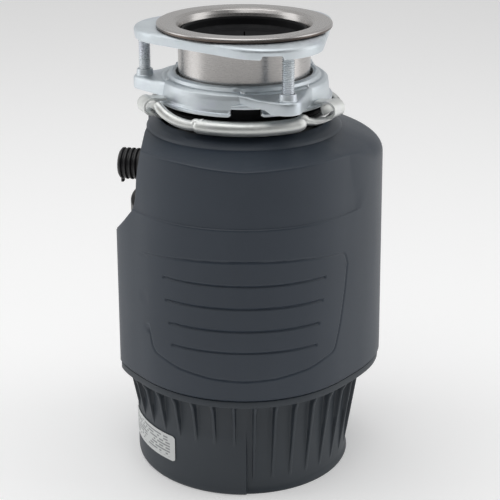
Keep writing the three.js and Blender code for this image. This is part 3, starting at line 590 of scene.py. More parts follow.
LIP_LOW = 304.0
LIP_HIGH = 306.9
LIP_INNER_R = 55.0
BRIGHT = ((0.44, 0.43, 0.42), (0.52, 0.50, 0.49), 0.27)
RIM_STEEL = brushed("rim_stainless", *BRIGHT, lip=(LIP_LOW, LIP_HIGH, LIP_INNER_R))
MATERIALS = {
    "shell": moulded("shell_plastic", (0.0215, 0.0315, 0.047), (0.028, 0.0395, 0.057), 0.46, grain=0.2),
    "base": moulded("base_plastic", (0.023, 0.031, 0.041), (0.031, 0.040, 0.050), 0.52),
    "black_plastic": moulded("black_plastic", (0.008, 0.008, 0.009), (0.014, 0.014, 0.015), 0.42),
    "red_button": moulded("red_plastic", (0.42, 0.02, 0.012), (0.50, 0.03, 0.02), 0.35),
    "black_rubber": rubber("black_rubber", (0.007, 0.007, 0.008)),
    "zinc": plated("zinc_plate", (0.58, 0.64, 0.68), (0.72, 0.77, 0.80), 0.44, 0.5, (0.66, 0.66, 0.80)),
    "pale_zinc": plated("pale_zinc_plate", (0.68, 0.70, 0.68), (0.82, 0.83, 0.81), 0.42, 0.3,
                        (0.76, 0.73, 0.82)),
    "green_screw": plated("green_screw", (0.03, 0.20, 0.07), (0.05, 0.30, 0.10), 0.35, 0.2,
                          (0.05, 0.30, 0.10)),
    "steel": brushed("turned_steel", (0.22, 0.23, 0.24), (0.40, 0.41, 0.42), 0.34),
    "stainless": brushed("stainless", *BRIGHT),
    "cast_alloy": cast("cast_alloy", (0.30, 0.31, 0.32), (0.46, 0.47, 0.48)),
    "bronze": cast("sintered_bronze", (0.30, 0.17, 0.06), (0.44, 0.27, 0.11), 0.45),
    "laminations": laminated("laminations"),
    "copper": wound("copper_winding"),
    "fibre": fibrous("fibre_washer", (0.035, 0.016, 0.009)),
    "foam": foamed("sound_foam", (0.030, 0.032, 0.036)),
    "label": printed_label("label_print"),
}
for entry in frame["record"]["subparts"]:
    node = frame["nodes"][entry["node"]]
    node.data.materials.clear()
    node.data.materials.append(MATERIALS[entry["material_slot"]])

# ---------------------------------------------------------------- outer shell
WALL_R = 85.5
SEAM_Z = 75.6
BAND_Z = 194.2
BAND_DEPTH = 0.9
COLLAR_R = 65.0
COLLAR_Z = 239.4
WING_AZIMUTH = 97.0
WING_HALF = 48.0
WING_OUT = 10.3
SIDE_OUT = 3.7
SHOULDER_SLOPE = [(-120, 0.22), (-60, 0.16), (-47, 0.17), (-30, 0.22), (-16, 0.31), (0, 0.40), (16, 0.345),
                  (30, 0.30), (47, 0.275), (72, 0.38), (97, 0.405), (150, 0.33), (180, 0.30), (240, 0.22)]
CUT_X = [(60, -85.6), (174.5, -84.9), (184, -78.8), (191.5, -74.2), (193.5, -72.8), (196, -71.5),
         (201, -70.4), (207, -69.6), (216.5, -69.0), (225, -67.6), (231, -66.5), (236.5, -65.3),
         (239.5, -64.8)]
SILL_Z = 174.5
SILL_SLOPE = 24.0
SILL_FRONT = -27.3
SILL_BACK = 62.0
SHELL_WALL = 2.4
PORT_HALF = 42.0
PORT_LOW = 127.0
PORT_HIGH = 175.0
PORT_CORNER = 10.0


def wing(azimuth):
    """Share of the bulge on the right side, which fades out on both sides of its middle."""
    off = abs(azimuth - WING_AZIMUTH)
    return 0.5 * (1 + math.cos(math.pi * off / WING_HALF)) if off < WING_HALF else 0.0


def smooth_wall(azimuth, z):
    """Radius of the shell's wall with its wing and its fuller left side."""
    lean = along([(83, 1.0), (219.5, 0.745), (235, 0.72)], z)
    side = SIDE_OUT * (1 - smooth(abs(azimuth + 90), 12, 38))
    return WALL_R + WING_OUT * wing(azimuth) * lean + side


def wall_radius(azimuth, z):
    """Radius of the shell's wall, with the recessed band and its facet at the right."""
    azimuth = azimuth if azimuth <= 180 else azimuth - 360
    plain = smooth_wall(azimuth, z)
    step = smooth(z, BAND_Z - 0.2, BAND_Z + 0.8)
    if step <= 0 or azimuth < -100 or azimuth > 75:
        return plain
    rise = clamp((z - BAND_Z) / 34.0)
    band_end = lerp(59, 52, rise)
    facet_end = lerp(59.5, 72, rise)
    if azimuth <= band_end:
        return plain - BAND_DEPTH * step
    if azimuth < facet_end:
        t = (azimuth - band_end) / (facet_end - band_end)
        return lerp(smooth_wall(band_end, z) - BAND_DEPTH * step, smooth_wall(facet_end, z), t)
    return plain


# The front panel: an engraved outline with four level grooves, in degrees and millimetres.
GROOVES = [(156.5, 37.2), (141.0, 36.0), (125.4, 34.4), (110.3, 33.2)]
GROOVE_HALF = 1.25
GROOVE_DEPTH = 0.85
PANEL = [(0, 173.5, 0), (25, 172.2, 0), (49.5, 168.6, 6), (51.5, 160, 0), (50.2, 142, 0), (47.6, 120, 0),
         (44.2, 101.5, 8), (30, 94.9, 0), (14, 91.5, 0), (0, 90.4, 0)]
ARC = math.pi / 180 * WALL_R
OUTLINE = rounded([(a * ARC, z, r) for a, z, r in PANEL], closed=False, steps=6)


def distance_to_outline(s, z):
    best = 9.0
    for (x0, y0), (x1, y1) in zip(OUTLINE, OUTLINE[1:]):
        if min(y0, y1) - 2 > z or max(y0, y1) + 2 < z or min(x0, x1) - 2 > s or max(x0, x1) + 2 < s:
            continue
        dx, dy = x1 - x0, y1 - y0
        t = clamp(((s - x0) * dx + (z - y0) * dy) / max(dx * dx + dy * dy, 1e-9))
        best = min(best, math.hypot(s - x0 - dx * t, z - y0 - dy * t))
    return best


def engraving(azimuth, z):
    """Depth of the panel's engraving at a place on the shell."""
    if abs(azimuth) > 56 or not 84 < z < 180:
        return 0.0
    s = abs(azimuth) * ARC
    depth = 0.0
    for groove_z, half in GROOVES:
        away = math.hypot(max(0.0, s - half * ARC), z - groove_z)
        depth = max(depth, GROOVE_DEPTH * (1 - smooth(away, 0.2, GROOVE_HALF)))
    return max(depth, 0.62 * GROOVE_DEPTH * (1 - smooth(distance_to_outline(s, z), 0.15, 1.05)))


def shoulder(azimuth):
    """The wall's top edge as radius, height, cone slope, fillet radius, its reach and its turn."""
    blend = smooth(azimuth, 52, 74) * (1 - smooth(azimuth, 122, 150))
    fillet = lerp(1.6, 11.5, blend)
    slope = along(SHOULDER_SLOPE, azimuth)
    radius = wall_radius(azimuth, 226)
    height = COLLAR_Z - slope * (radius - COLLAR_R)
    turn = math.pi / 2 - math.atan(slope)
    return radius, height, slope, fillet, fillet * math.tan(turn / 2), turn


def shell_point(kind, t, azimuth):
    """(radius, height) on the shell's skin: its wall by height, then the shoulder by shares."""
    if kind == "wall":
        chamfer = 1.3 * (1 - smooth(t, SEAM_Z, SEAM_Z + 1.5))
        return wall_radius(azimuth, t) - engraving(azimuth, t) - chamfer, t
    radius, height, slope, fillet, reach, turn = shoulder(azimuth)
    start = height - reach
    if kind == "upper":
        z = lerp(BAND_Z + 1.05, start, t)
        return wall_radius(azimuth, z), z
    if kind == "round":
        shift = (wall_radius(azimuth, start) - radius) * (1 - t)
        angle = turn * t
        return radius - fillet + fillet * math.cos(angle) + shift, start + fillet * math.sin(angle)
    r = lerp(radius - fillet + fillet * math.cos(turn), COLLAR_R - 1.2, t)
    return r, COLLAR_Z - slope * (r - COLLAR_R)


def cut_edge(kind, t):
    """Azimuth at which a row of the skin meets the slice on its left side."""
    azimuth = -70.0
    for _ in range(20):
        r, z = shell_point(kind, t, azimuth)
        azimuth = -math.degrees(math.asin(clamp(-along(CUT_X, z) / r, 0.2, 0.999)))
    return azimuth


def shell_stations():
    """The skin's rows from the seam up: wall heights, then shares of the upper wall, fillet and cone."""
    engraved_low, engraved_high, step = 84, 178, 0.6
    wall = [SEAM_Z, SEAM_Z + 0.7, SEAM_Z + 1.5, 79.5, 180, 182, 184.5, 187, 189.5, 191.5, 193, SILL_Z]
    wall += [engraved_low + step * k for k in range(int((engraved_high - engraved_low) / step) + 1)]
    wall += [BAND_Z - 0.2 + 0.25 * k for k in range(6)]
    stations = [("wall", z) for z in sorted(wall)]
    for kind, count in (("upper", 10), ("round", 7), ("cone", 6)):
        stations += [(kind, k / count) for k in range(1, count + 1)]
    return stations


def outer_shell():
    """The skin as rows of points, made into a wall and cut for the port and the inlet."""
    stations = shell_stations()
    front, back = -47.0, 226.0
    end_columns, side_columns = 10, 14
    columns = [-56 + 0.4 * k for k in range(281)] + [56 + 2 * k for k in range(1, 11)]
    columns += [76 + 2.5 * k for k in range(1, 62)]
    columns = [c for c in columns if front < c < back]
    rows = []
    for kind, t in stations:
        edge = cut_edge(kind, t)
        azimuths = [lerp(edge, front, k / end_columns) for k in range(end_columns)]
        azimuths += [front] + columns + [back]
        azimuths += [lerp(back, 180 - edge, k / end_columns) for k in range(1, end_columns + 1)]
        row = []
        for azimuth in azimuths:
            r, z = shell_point(kind, t, azimuth)
            row.append(polar(r, azimuth, z))
        # The slice across the left side closes the row.
        row += [row[-1].lerp(row[0], k / side_columns) for k in range(1, side_columns)]
        rows.append(row)
    sill = stations.index(("wall", SILL_Z))
    main = len(rows[0]) - side_columns
    verts, faces = grid(rows, wrap_columns=True, keep=lambda i, j: i < sill or j < main)
    skin = mesh_object("shell_skin", verts, faces, closed=False)
    modifier(skin, "SOLIDIFY", thickness=SHELL_WALL * MM, offset=-1.0)
    window = rounded([(x, z, PORT_CORNER) for x, z in ((-PORT_HALF, PORT_LOW), (PORT_HALF, PORT_LOW),
                                                       (PORT_HALF, PORT_HIGH), (-PORT_HALF, PORT_HIGH))])
    drilled(skin, [prism(*[[flat(x, y, z) for x, z in window] for y in (50, 110)])])
    # The inlet opening's sill runs down towards the back.
    low_z = SILL_Z - (SILL_BACK - SILL_FRONT) * math.tan(math.radians(SILL_SLOPE))
    drop = [(SILL_FRONT, SILL_Z), (SILL_BACK, low_z), (SILL_BACK, 199), (SILL_FRONT, 199)]
    drilled(skin, [prism(*[[flat(x, y, z) for y, z in drop] for x in (-130, -69.8)])])
    softened(skin, 0.4, angle=60, sharp=40)
    return place(skin, "housing", "shell", "outer_shell")


def shell_collar():
    """The raised collar round the neck's hole."""
    corners = [(55, 236.2, 0.3), (63, 235.4, 0.3), (64.9, 237.4, 0.5), (64.9, 239.6, 0.8),
               (63.8, 240.9, 0.6), (61, 243.0, 3), (56.4, 246.2, 1.0), (55, 243.4, 0.8)]
    return turned_piece("shell_collar", corners, 192, "housing", "shell", "outer_shell", steps=5)


outer_shell()
shell_collar()

# ---------------------------------------------------------------- finned base
RIM_Z = 70.4
BASE_TOP = 75.3
PAD = (-88.0, 1.0)
PAD_R = 76.0
FINS = 36
FIN_FOOT = (10.0, 73.2)
SHORT_FIN_FOOT = (38.0, 76.0)
FIN_SECTION = [(-2.8, 0.0), (-1.7, 0.02), (-1.2, 0.12), (-1.0, 0.72), (-0.8, 0.95), (-0.45, 1.0), (0, 1.0),
               (0.45, 1.0), (0.8, 0.95), (1.0, 0.72), (1.2, 0.12), (1.7, 0.02), (2.8, 0.0)]


def rim_radius(azimuth):
    """The base's rim follows the shell's wall, and is flat at the left."""
    r = wall_radius(azimuth, SEAM_Z) - 1.0
    a = math.sin(math.radians(azimuth))
    return min(r, 84.9 / -a) if a < -0.8 else r


def base_wall(azimuth, z):
    """The base's wall between its fins, with the smooth pad at the lower left front."""
    r = along([(0, 73.6), (0.8, 74), (2.0, 73.6), (4, 72.8), (54, 76), (69.4, 77.6), (80, 78)], z)
    flare = 1 - smooth(abs((azimuth + 180) % 360 - 90), 8, 30)
    r += 6.6 * flare * smooth(z, 50, 69)
    edge = smooth(azimuth, PAD[0] - 1.0, PAD[0]) * (1 - smooth(azimuth, PAD[1] - 0.1, PAD[1] + 0.5))
    pad = along([(0, 74.6), (1.2, 75.6), (3, PAD_R), (43, PAD_R), (46, PAD_R - 0.2), (52, 75.6)], z)
    return max(r, lerp(r, pad, edge)) if z < 52 else r


def fin_radius(z, short):
    """Outer edge of a fin, which sweeps out to the rim at its top."""
    start, foot = SHORT_FIN_FOOT if short else FIN_FOOT
    line = along([(start, foot), (start + 4, foot + 0.9), (68, 82.0), (72, 82.4)], z)
    return line + 2.0 * smooth(z, 61, RIM_Z) ** 2


def base_cover():
    """The finned wall, its rim, its inner face and the ring-shaped foot, as one closed surface."""
    heights = [0, 0.8, 1.6, 2.6, 4, 6, 8, 10, 11.5, 13, 15] + [18 + 3 * k for k in range(6)]
    heights += [36, 38, 39.5, 41, 42.5, 44, 46, 49] + [52 + 2 * k for k in range(6)]
    heights += [63.5, 65, 66.5, 67.8, 69, 69.8, RIM_Z]
    per_fin = 360.0 / FINS
    columns = []
    for i in range(FINS):
        centre = -175 + i * per_fin
        short = -90 < centre < 0
        for offset, height in FIN_SECTION:
            columns.append((centre + math.degrees(offset / 80.0), offset, height, short))
        for extra in (3.4, 5.0, 6.6):
            columns.append((centre + extra, None, 0.0, short))
    pad_edges = [(PAD[1] + d, None, 0.0, False) for d in (-0.1, 0.1, 0.3, 0.5)]
    columns = sorted(columns + pad_edges, key=lambda c: c[0])
    rows = []
    for z in heights:
        row = []
        for azimuth, offset, height, short in columns:
            r = base_wall(azimuth, z)
            share = height
            if offset is not None and 1.1 < abs(offset) < 2.5:
                share = max(height, 0.34 * (2.8 - abs(offset)) * smooth(z, 63, RIM_Z))
            if share > 0 and z > (SHORT_FIN_FOOT if short else FIN_FOOT)[0]:
                r = max(r, lerp(r, fin_radius(z, short), share))
            row.append(polar(min(r, rim_radius(azimuth) - 0.2), azimuth, z))
        rows.append(row)
    # Rim, then the inside of the wall down to the floor and the ring-shaped foot.
    for z, inset in ((RIM_Z, 0.5), (RIM_Z + 0.15, 0.15), (RIM_Z + 0.6, 0.0), (74.7, 0.0), (75.1, 0.15),
                     (BASE_TOP, 0.5)):
        rows.append([polar(rim_radius(c[0]) - inset, c[0], z) for c in columns])
    for r, z in rounded([(76, BASE_TOP, 0), (74, BASE_TOP, 0.6), (70, 9, 2.5), (63.6, 8.5, 0), (63.6, 5.5, 0),
                         (64.4, 5.5, 0), (66, 0.2, 0.6), (67, 0, 0), (73.0, 0, 0)], closed=False):
        rows.append([polar(r, c[0], z) for c in columns])
    verts, faces = grid(rows, wrap_rows=True, wrap_columns=True)
    return place(mesh_object("base_wall", verts, faces, sharp=50), "housing", "base", "base_cover")


RESET_SPOT = (42.0, 40.0)
CONDUIT_SPOT = (46.0, 150.0)
TERMINAL_SPOT = (42.0, 215.0)
BASE_SCREWS = [(56.0, 0.0), (56.0, 100.0), (56.0, 260.0)]


def base_floor():
    """The floor with its shaft, reset, conduit, screw and terminal holes."""
    floor_plate = mesh_object("base_floor", *extruded(circle(0, 0, 63.8, 160), 5.5, 8.5))
    round_holes = [((0, 0), 10.5), (spot(*RESET_SPOT), 5.4), (spot(*CONDUIT_SPOT), 11.1)]
    holes = [extruded(circle(*centre, radius), 0, 12) for centre, radius in round_holes]
    holes += [extruded(circle(*spot(*at), 2.4, 20), 0, 12) for at in BASE_SCREWS]
    access = rounded([(-13, -49, 2), (13, -49, 2), (13, -35, 2), (-13, -35, 2)])
    holes.append(turned_to(extruded(access, 0, 12), TERMINAL_SPOT[1]))
    drilled(floor_plate, holes)
    softened(floor_plate, 0.4)
    return place(floor_plate, "housing", "base", "base_cover")


def floor_ribs():
    """Rings and spokes moulded under the floor."""
    parts = []
    for r in (14.0, 62.2):
        ring = rounded([(r - 0.8, 5.9, 0), (r - 0.6, 3.4, 0.3), (r + 0.6, 3.4, 0.3), (r + 0.8, 5.9, 0)])
        parts.append(lathe_data(ring, 96))
    for azimuth in (20, 65, 125, 180, 240, 305, 335):
        rib = extruded([(-0.8, -61.8), (0.8, -61.8), (0.8, -14.4), (-0.8, -14.4)], 3.6, 5.8)
        parts.append(turned_to(rib, azimuth))
    obj = merged("base_ribs", parts)
    softened(obj, 0.25)
    return place(obj, "housing", "base", "base_cover")


def rating_label():
    """A thin sticker with rounded corners; its lower right corner has lifted a little."""
    radius = 2.2
    rows = []
    low, high = LABEL_Z
    count = 22
    for i in range(count + 1):
        z = lerp(low, high, i / count)
        d = max(0.0, radius - (z - low), radius - (high - z))
        inset = math.degrees((radius - math.sqrt(max(radius * radius - d * d, 0))) / PAD_R)
        row = []
        for j in range(49):
            azimuth = lerp(LABEL_AZ[0] + inset, LABEL_AZ[1] - inset, j / 48)
            lift = 0.12 * smooth(azimuth, -44, -38) * (1 - smooth(z, low, low + 6))
            row.append(polar(LABEL_R + lift, azimuth, z))
        rows.append(row)
    obj = mesh_object("label_sheet", *grid(rows), closed=False)
    modifier(obj, "SOLIDIFY", thickness=0.22 * MM, offset=-1.0)
    baked(obj)
    return place(obj, "housing", "label", "rating_label")


base_cover()
base_floor()
floor_ribs()
rating_label()

# ---------------------------------------------------------------- sink flange and clamp plate
SCREW_CIRCLE = 66.0
SCREW_AZIMUTHS = [24.0, 144.0, 264.0]


def sink_flange():
    """Rim with a rolled edge, and the neck with a bead at its foot."""
    corners = [(42.1, 264.5, 0.3), (45.4, 264.5, 0.7), (46.05, 266.4, 0.9), (45.4, 268.4, 0.7),
               (43.3, 268.6, 0.5), (43.3, 303.6, 1.4), (44.7, 306.4, 0.7), (55.3, 306.4, 0.4),
               (55.9, 305.3, 0.3), (57.15, 305.2, 0.5), (57.15, 307.3, 0.9), (56.1, 307.98, 0.9),
               (46.6, 307.85, 1.6), (44.3, 306.7, 1.4), (43.0, 304.4, 1.4), (42.1, 301.2, 1.6)]
    return turned_piece("sink_flange_fine", corners, 256, "housing", "stainless", "sink_flange", steps=6,
                        material=RIM_STEEL)


def fibre_gasket():
    corners = [(45.6, 304.9, 0.1), (54.4, 304.9, 0.2), (54.4, 305.9, 0.2), (45.6, 305.9, 0.1)]
    return turned_piece("fibre_gasket_fine", corners, 144, "clamp_plate", "fibre", "fibre_gasket", steps=3)


PLATE_CORNER_R = 37.1
PLATE_CORNER_OUT = 35.5
PLATE_TURN = -1.5
SKIRT_Z = 297.4


def plate_outline():
    """Outline in (x, y) of the clamp plate: a triangle with broad round corners."""
    points = []
    for azimuth in SCREW_AZIMUTHS:
        x, y = spot(PLATE_CORNER_OUT, azimuth + PLATE_TURN)
        for k in range(41):
            dx, dy = spot(PLATE_CORNER_R, azimuth + PLATE_TURN + lerp(-60, 60, k / 40))
            points.append((x + dx, y + dy))
    return points


def evened(points, spacing=0.8, passes=6):
    """A closed outline resampled at even steps and smoothed along its length."""
    total = [0.0]
    loop = points + [points[0]]
    for (x0, y0), (x1, y1) in zip(loop, loop[1:]):
        total.append(total[-1] + math.hypot(x1 - x0, y1 - y0))
    count = int(total[-1] / spacing)
    out = []
    k = 0
    for i in range(count):
        at = total[-1] * i / count
        while total[k + 1] < at:
            k += 1
        t = (at - total[k]) / max(total[k + 1] - total[k], 1e-9)
        out.append((lerp(loop[k][0], loop[k + 1][0], t), lerp(loop[k][1], loop[k + 1][1], t)))
    for _ in range(passes):
        out = [((out[i - 1][0] + 2 * x + out[(i + 1) % count][0]) / 4,
                (out[i - 1][1] + 2 * y + out[(i + 1) % count][1]) / 4) for i, (x, y) in enumerate(out)]
    return out


def inset_outline(points, depth):
    """The outline moved inwards by depth."""
    count = len(points)
    out = []
    for i, (x, y) in enumerate(points):
        x0, y0 = points[i - 1]
        x1, y1 = points[(i + 1) % count]
        dx, dy = x1 - x0, y1 - y0
        length = math.hypot(dx, dy)
        out.append((x - dy / length * depth, y + dx / length * depth))
    return out


def plate_notch(x, y):
    """1 inside the notch that the skirt carries to the left of each screw."""
    for azimuth in SCREW_AZIMUTHS:
        turn = math.radians(azimuth - 10)
        across = math.cos(turn) * x + math.sin(turn) * y
        outward = math.sin(turn) * x - math.cos(turn) * y
        if outward > 50:
            return 1 - smooth(abs(across), 5.9, 7.1)
    return 0.0


def backup_flange():
    """Pressed clamp plate: a flat top, a rounded edge and a turned-down skirt of sheet steel."""
    outline = evened(plate_outline())
    section = [(0.9, SKIRT_Z), (0.75, 298.6), (0.3, 301.6), (0.3, 302.6), (0.8, 303.6), (1.6, 304.2),
               (2.8, 304.5), (5.0, 304.5)]
    rows = []
    for depth, z in section:
        row = []
        for x, y in inset_outline(outline, depth):
            lift = 2.5 * plate_notch(x, y) * clamp((301.4 - z) / 4.0)
            row.append(flat(x, y, z + lift))
        rows.append(row)
    for r, z in ((48.0, 304.5), (45.6, 304.5), (44.9, 304.2), (44.6, 303.4)):
        rows.append([polar(r, math.degrees(math.atan2(x, -y)), z) for x, y in outline])
    obj = mesh_object("backup_flange_fine", *grid(rows, wrap_columns=True), closed=False)
    sheet(obj, 1.6, 0.35)
    return place(obj, "clamp_plate", "zinc", "backup_flange")


# ---------------------------------------------------------------- upper mounting ring
EAR_TOP = 270.8
EAR_BOTTOM = 262.6
WINDOWS = [1.0, 121.0, 241.0]
WINDOW_HALF = 9.9
WINDOW_HEAD = 264.7


def mounting_ring():
    """Pressed ring: rolled bead, groove, shoulder and a skirt with a small lip, and three windows."""
    section = rounded([(58.0, 260.5, 0), (56.6, 260.6, 0.8), (55.9, 262.6, 1.2), (55.4, 268.6, 1.0),
                       (54.9, 271.6, 1.6), (52.6, 273.3, 1.6), (50.3, 273.1, 0.8), (49.2, 275.2, 1.0),
                       (47.0, 276.2, 1.2), (45.0, 275.6, 0.9), (44.5, 272.6, 0)], closed=False, steps=5)
    columns = []
    for centre in WINDOWS:
        columns += [centre - WINDOW_HALF - d for d in (1.6, 0.8, 0.3, 0)]
        columns += [centre + WINDOW_HALF * k / 8 for k in range(-7, 8)]
        columns += [centre + WINDOW_HALF + d for d in (0, 0.3, 0.8, 1.6)]
        columns += [centre + WINDOW_HALF + 1.6 + (120 - 2 * WINDOW_HALF - 3.2) * k / 56 for k in range(1, 56)]
    columns = sorted(columns)

    def near_window(azimuth):
        return min(abs((azimuth - c + 180) % 360 - 180) for c in WINDOWS)

    rows = []
    for r, z in section:
        row = []
        for azimuth in columns:
            lift = 0.0
            if z < 266:
                # The lip's ends turn up towards the window.
                lift = 1.2 * (1 - smooth(near_window(azimuth) - WINDOW_HALF, 0, 1.6)) * (266 - z) / 5.5
            # A small dimple stands up on the bead at the front.
            bump = 0.7 * (1 - smooth(abs(azimuth + 6.0), 1.0, 3.4)) if r < 50.5 and z > 273.5 else 0.0
            row.append(polar(r, azimuth, z + lift + min(bump, 275.9 - z if z < 275.9 else 0)))
        rows.append(row)

    def keep(i, j):
        # Every row below the window's head is dropped between the window's sides.
        middle = columns[j] + 0.01
        return not (section[i + 1][1] < WINDOW_HEAD and near_window(middle) < WINDOW_HALF)

    obj = mesh_object("mounting_ring_pressed", *grid(rows, wrap_columns=True, keep=keep), closed=False)
    sheet(obj, 1.7, 0.3, angle=55)
    return place(obj, "housing", "zinc", "mounting_ring")


def ear_outline():
    """Open outline of an ear drawn at the front, from its left flank's root round to its right one."""
    base, reach, half, angle = 54.6, 73.6, 10.0, 50.0
    centre = reach - half
    root = angle - math.degrees(math.acos((centre * math.cos(math.radians(angle)) + half) / base))
    left = Vector(spot(base, -root))
    points = []
    start = Vector((-half * math.sin(math.radians(angle)), -centre - half * math.cos(math.radians(angle))))
    for k in range(16):
        points.append(tuple(left.lerp(start, k / 16)))
    for k in range(25):
        a = math.radians(lerp(-angle, angle, k / 24))
        points.append((half * math.sin(a), -centre - half * math.cos(a)))
    return points + [(-x, y) for x, y in reversed(points[:16])]


def mounting_ears():
    """Sheet-metal ears with turned-down sides; the sides rise where the flanks pass the windows."""
    parts = []
    outline = ear_outline()
    count = len(outline)
    section = [(0.0, 0.0), (0.0, 0.12), (0.0, 0.4), (0.0, 0.72), (0.22, 0.86), (0.85, 0.96), (1.9, 1.0),
               (3.6, 1.0)]

    def top(radius):
        return EAR_TOP + 1.5 * (1 - smooth(radius, 54.5, 61))

    for azimuth in SCREW_AZIMUTHS:
        rows = []
        for depth, share in section:
            row = []
            for i, (x, y) in enumerate(outline):
                x0, y0 = outline[max(i - 1, 0)]
                x1, y1 = outline[min(i + 1, count - 1)]
                dx, dy = x1 - x0, y1 - y0
                length = math.hypot(dx, dy)
                px, py = x - dy / length * depth, y + dx / length * depth
                leftwards = -math.degrees(math.atan2(x, -y))
                foot = lerp(EAR_BOTTOM, 265.4, smooth(leftwards, 9.5, 13.5))
                row.append(flat(px, py, lerp(foot, top(math.hypot(px, py)), share)))
            rows.append(row)
        for share in (0.35, 0.7, 1.0):
            row = []
            for i, (x, y) in enumerate(outline):
                goal = polar(53.2, 0.9 * math.degrees(math.atan2(x, -y)), EAR_TOP + 1.5)
                point = rows[len(section) - 1][i].lerp(goal, share)
                r = math.hypot(point.x - AXIS_X, point.y - AXIS_Y) / MM
                row.append(Vector((point.x, point.y, top(r) * MM)))
            rows.append(row)
        parts.append(turned_to(grid(rows), azimuth))
    obj = mesh_object("mounting_ears", *joined(parts), closed=False)
    sheet(obj, 1.9, 0.35, angle=55)
    return place(obj, "housing", "zinc", "mounting_ring")


def ear_collars():
    """Tapped collars drawn up from each ear, with a flared foot."""
    parts = []
    profile = rounded([(4.1, 268.9, 0), (6.3, 269.6, 0), (6.1, 270.95, 0.3), (5.6, 271.5, 0.5),
                       (5.3, 274.4, 0.5), (5.0, 275.0, 0.4), (4.3, 275.0, 0.3), (4.1, 274.6, 0.2)], steps=4)
    for azimuth in SCREW_AZIMUTHS:
        x, y = spot(SCREW_CIRCLE, azimuth)
        parts.append(lathe_data(profile, 40, centre=Vector((x * MM, y * MM, 0))))
    return place(merged("ear_collars", parts), "housing", "zinc", "mounting_ring")


def window_lips():
    """The curled edge over each window: it starts on the skirt and runs out under the ear's flank."""
    parts = []
    for centre in WINDOWS:
        points = []
        for k in range(29):
            t = k / 28
            azimuth = centre - 9.4 + 22.0 * t
            bulge = math.sin(math.pi * clamp(t * 1.1))
            points.append(polar(55.9 + 3.0 * smooth(t, 0.25, 1.0), azimuth, 265.2 + 0.7 * bulge))

        def section(t):
            share = 0.3 + 0.7 * math.sin(math.pi * clamp(t, 0.03, 0.97)) ** 0.5
            return oval(1.2 * MM * share, 1.0 * MM * share, 14)

        parts.append(sweep(points, section))
    return place(merged("window_lips", parts), "housing", "zinc", "mounting_ring")


def mounting_screw(index, azimuth):
    """A 5/16-18 screw: rolled thread of 1.41 mm pitch."""
    pitch, crest, root = 1.41, 3.93, 3.3
    bottom, top = 263.9, 301.2
    sides, per_turn = 24, 10
    x, y = spot(SCREW_CIRCLE, azimuth)
    rows = []
    count = int((top - bottom) / pitch * per_turn)
    for i in range(count + 1):
        z = lerp(bottom, top, i / count)
        taper = smooth(z, bottom, bottom + 1.2) * (1 - smooth(z, top - 1.2, top))
        row = []
        for k in range(sides):
            a = 2 * math.pi * k / sides
            phase = (z / pitch - k / sides) % 1.0
            tooth = clamp(1.25 - abs(phase - 0.5) * 3.2)
            r = root + (crest - root) * tooth * taper
            row.append(flat(x + r * math.cos(a), y + r * math.sin(a), z))
        rows.append(row)
    verts, faces = capped(rows)
    obj = mesh_object(f"mounting_screw_{index}_fine", verts, faces, sharp=60)
    body = ("screw_one", "screw_two", "screw_three")[index - 1]
    return place(obj, body, "zinc", f"mounting_screw_{index}")


# ---------------------------------------------------------------- rubber parts and snap ring
def splash_baffle():
    """A rubber sleeve that carries six flaps, parted by slits that widen towards the middle."""
    sleeve = [(39.4, 262, 0.3), (41.4, 262, 0.3), (41.4, 302.6, 0.5), (39.7, 303.1, 0.4), (39.3, 301.5, 0.3),
              (39.3, 297.4, 0.8), (37.4, 295.7, 1.0), (34.6, 294.7, 0), (34.6, 292.4, 0), (37.2, 292.9, 1.2),
              (39.4, 290.6, 1.2)]
    rings = [(34.7, 294.7), (32.5, 293.9), (27, 292.2), (21, 290.3), (15, 288.6), (10, 287.1), (7.6, 286.3)]
    columns = []
    flap_columns, slit_rows = 17, 5
    for k in range(6):
        centre = 60 * k
        columns += [centre - 0.9, centre + 0.9] + [centre + 0.9 + 58.2 * j / 16 for j in range(1, 16)]
    rows = []
    for r, z in reversed(rings):
        row = []
        for azimuth in columns:
            off = abs((azimuth + 30) % 60 - 30)
            width = math.degrees(0.45 / max(r, 8))
            if off < 1.0:
                sign = 1 if (azimuth + 30) % 60 - 30 > 0 else -1
                azimuth = round(azimuth / 60) * 60 + sign * width
            droop = 0.6 * (1 - smooth(off, 0, 14)) * (1 - smooth(r, 10, 32))
            row.append(polar(r, azimuth, z - droop))
        rows.append(row)
    flaps = grid(rows, wrap_columns=True, keep=lambda i, j: j % flap_columns or i >= slit_rows)
    obj = mesh_object("baffle_flaps", *flaps, closed=False)
    sheet(obj, 2.0, 0.3, offset=1.0 if faces_down(obj) else -1.0, sharp=45)
    place(obj, "baffle", "black_rubber", "splash_baffle")
    turned_piece("baffle_sleeve", sleeve, 160, "baffle", "black_rubber", "splash_baffle")


def faces_down(obj):
    return sum(p.normal.z * p.area for p in obj.data.polygons) < 0


def mounting_gasket():
    corners = [(46.8, 248, 0.5), (50.5, 248, 0.5), (50.6, 252.7, 0.4), (54.1, 252.8, 0.6), (54.1, 255.3, 0.8),
               (51, 256.2, 0.8), (50.9, 262.3, 0.8), (49.4, 264.0, 0.8), (43.6, 264.0, 0.5),
               (43.5, 258.5, 0.4), (46.8, 258.4, 0.4)]
    return turned_piece("gasket_fine", corners, 144, "housing", "black_rubber", "mounting_gasket")


def snap_ring():
    corners = [(43.8, 269, 0.5), (46.9, 269, 0.9), (46.9, 271.1, 0.9), (43.8, 271.1, 0.5)]
    return turned_piece("snap_ring_fine", corners, 144, "housing", "steel", "snap_ring")


sink_flange()
fibre_gasket()
backup_flange()
mounting_ring()
mounting_ears()
ear_collars()
window_lips()
for number, at in enumerate(SCREW_AZIMUTHS, 1):
    mounting_screw(number, at)
splash_baffle()
mounting_gasket()
snap_ring()

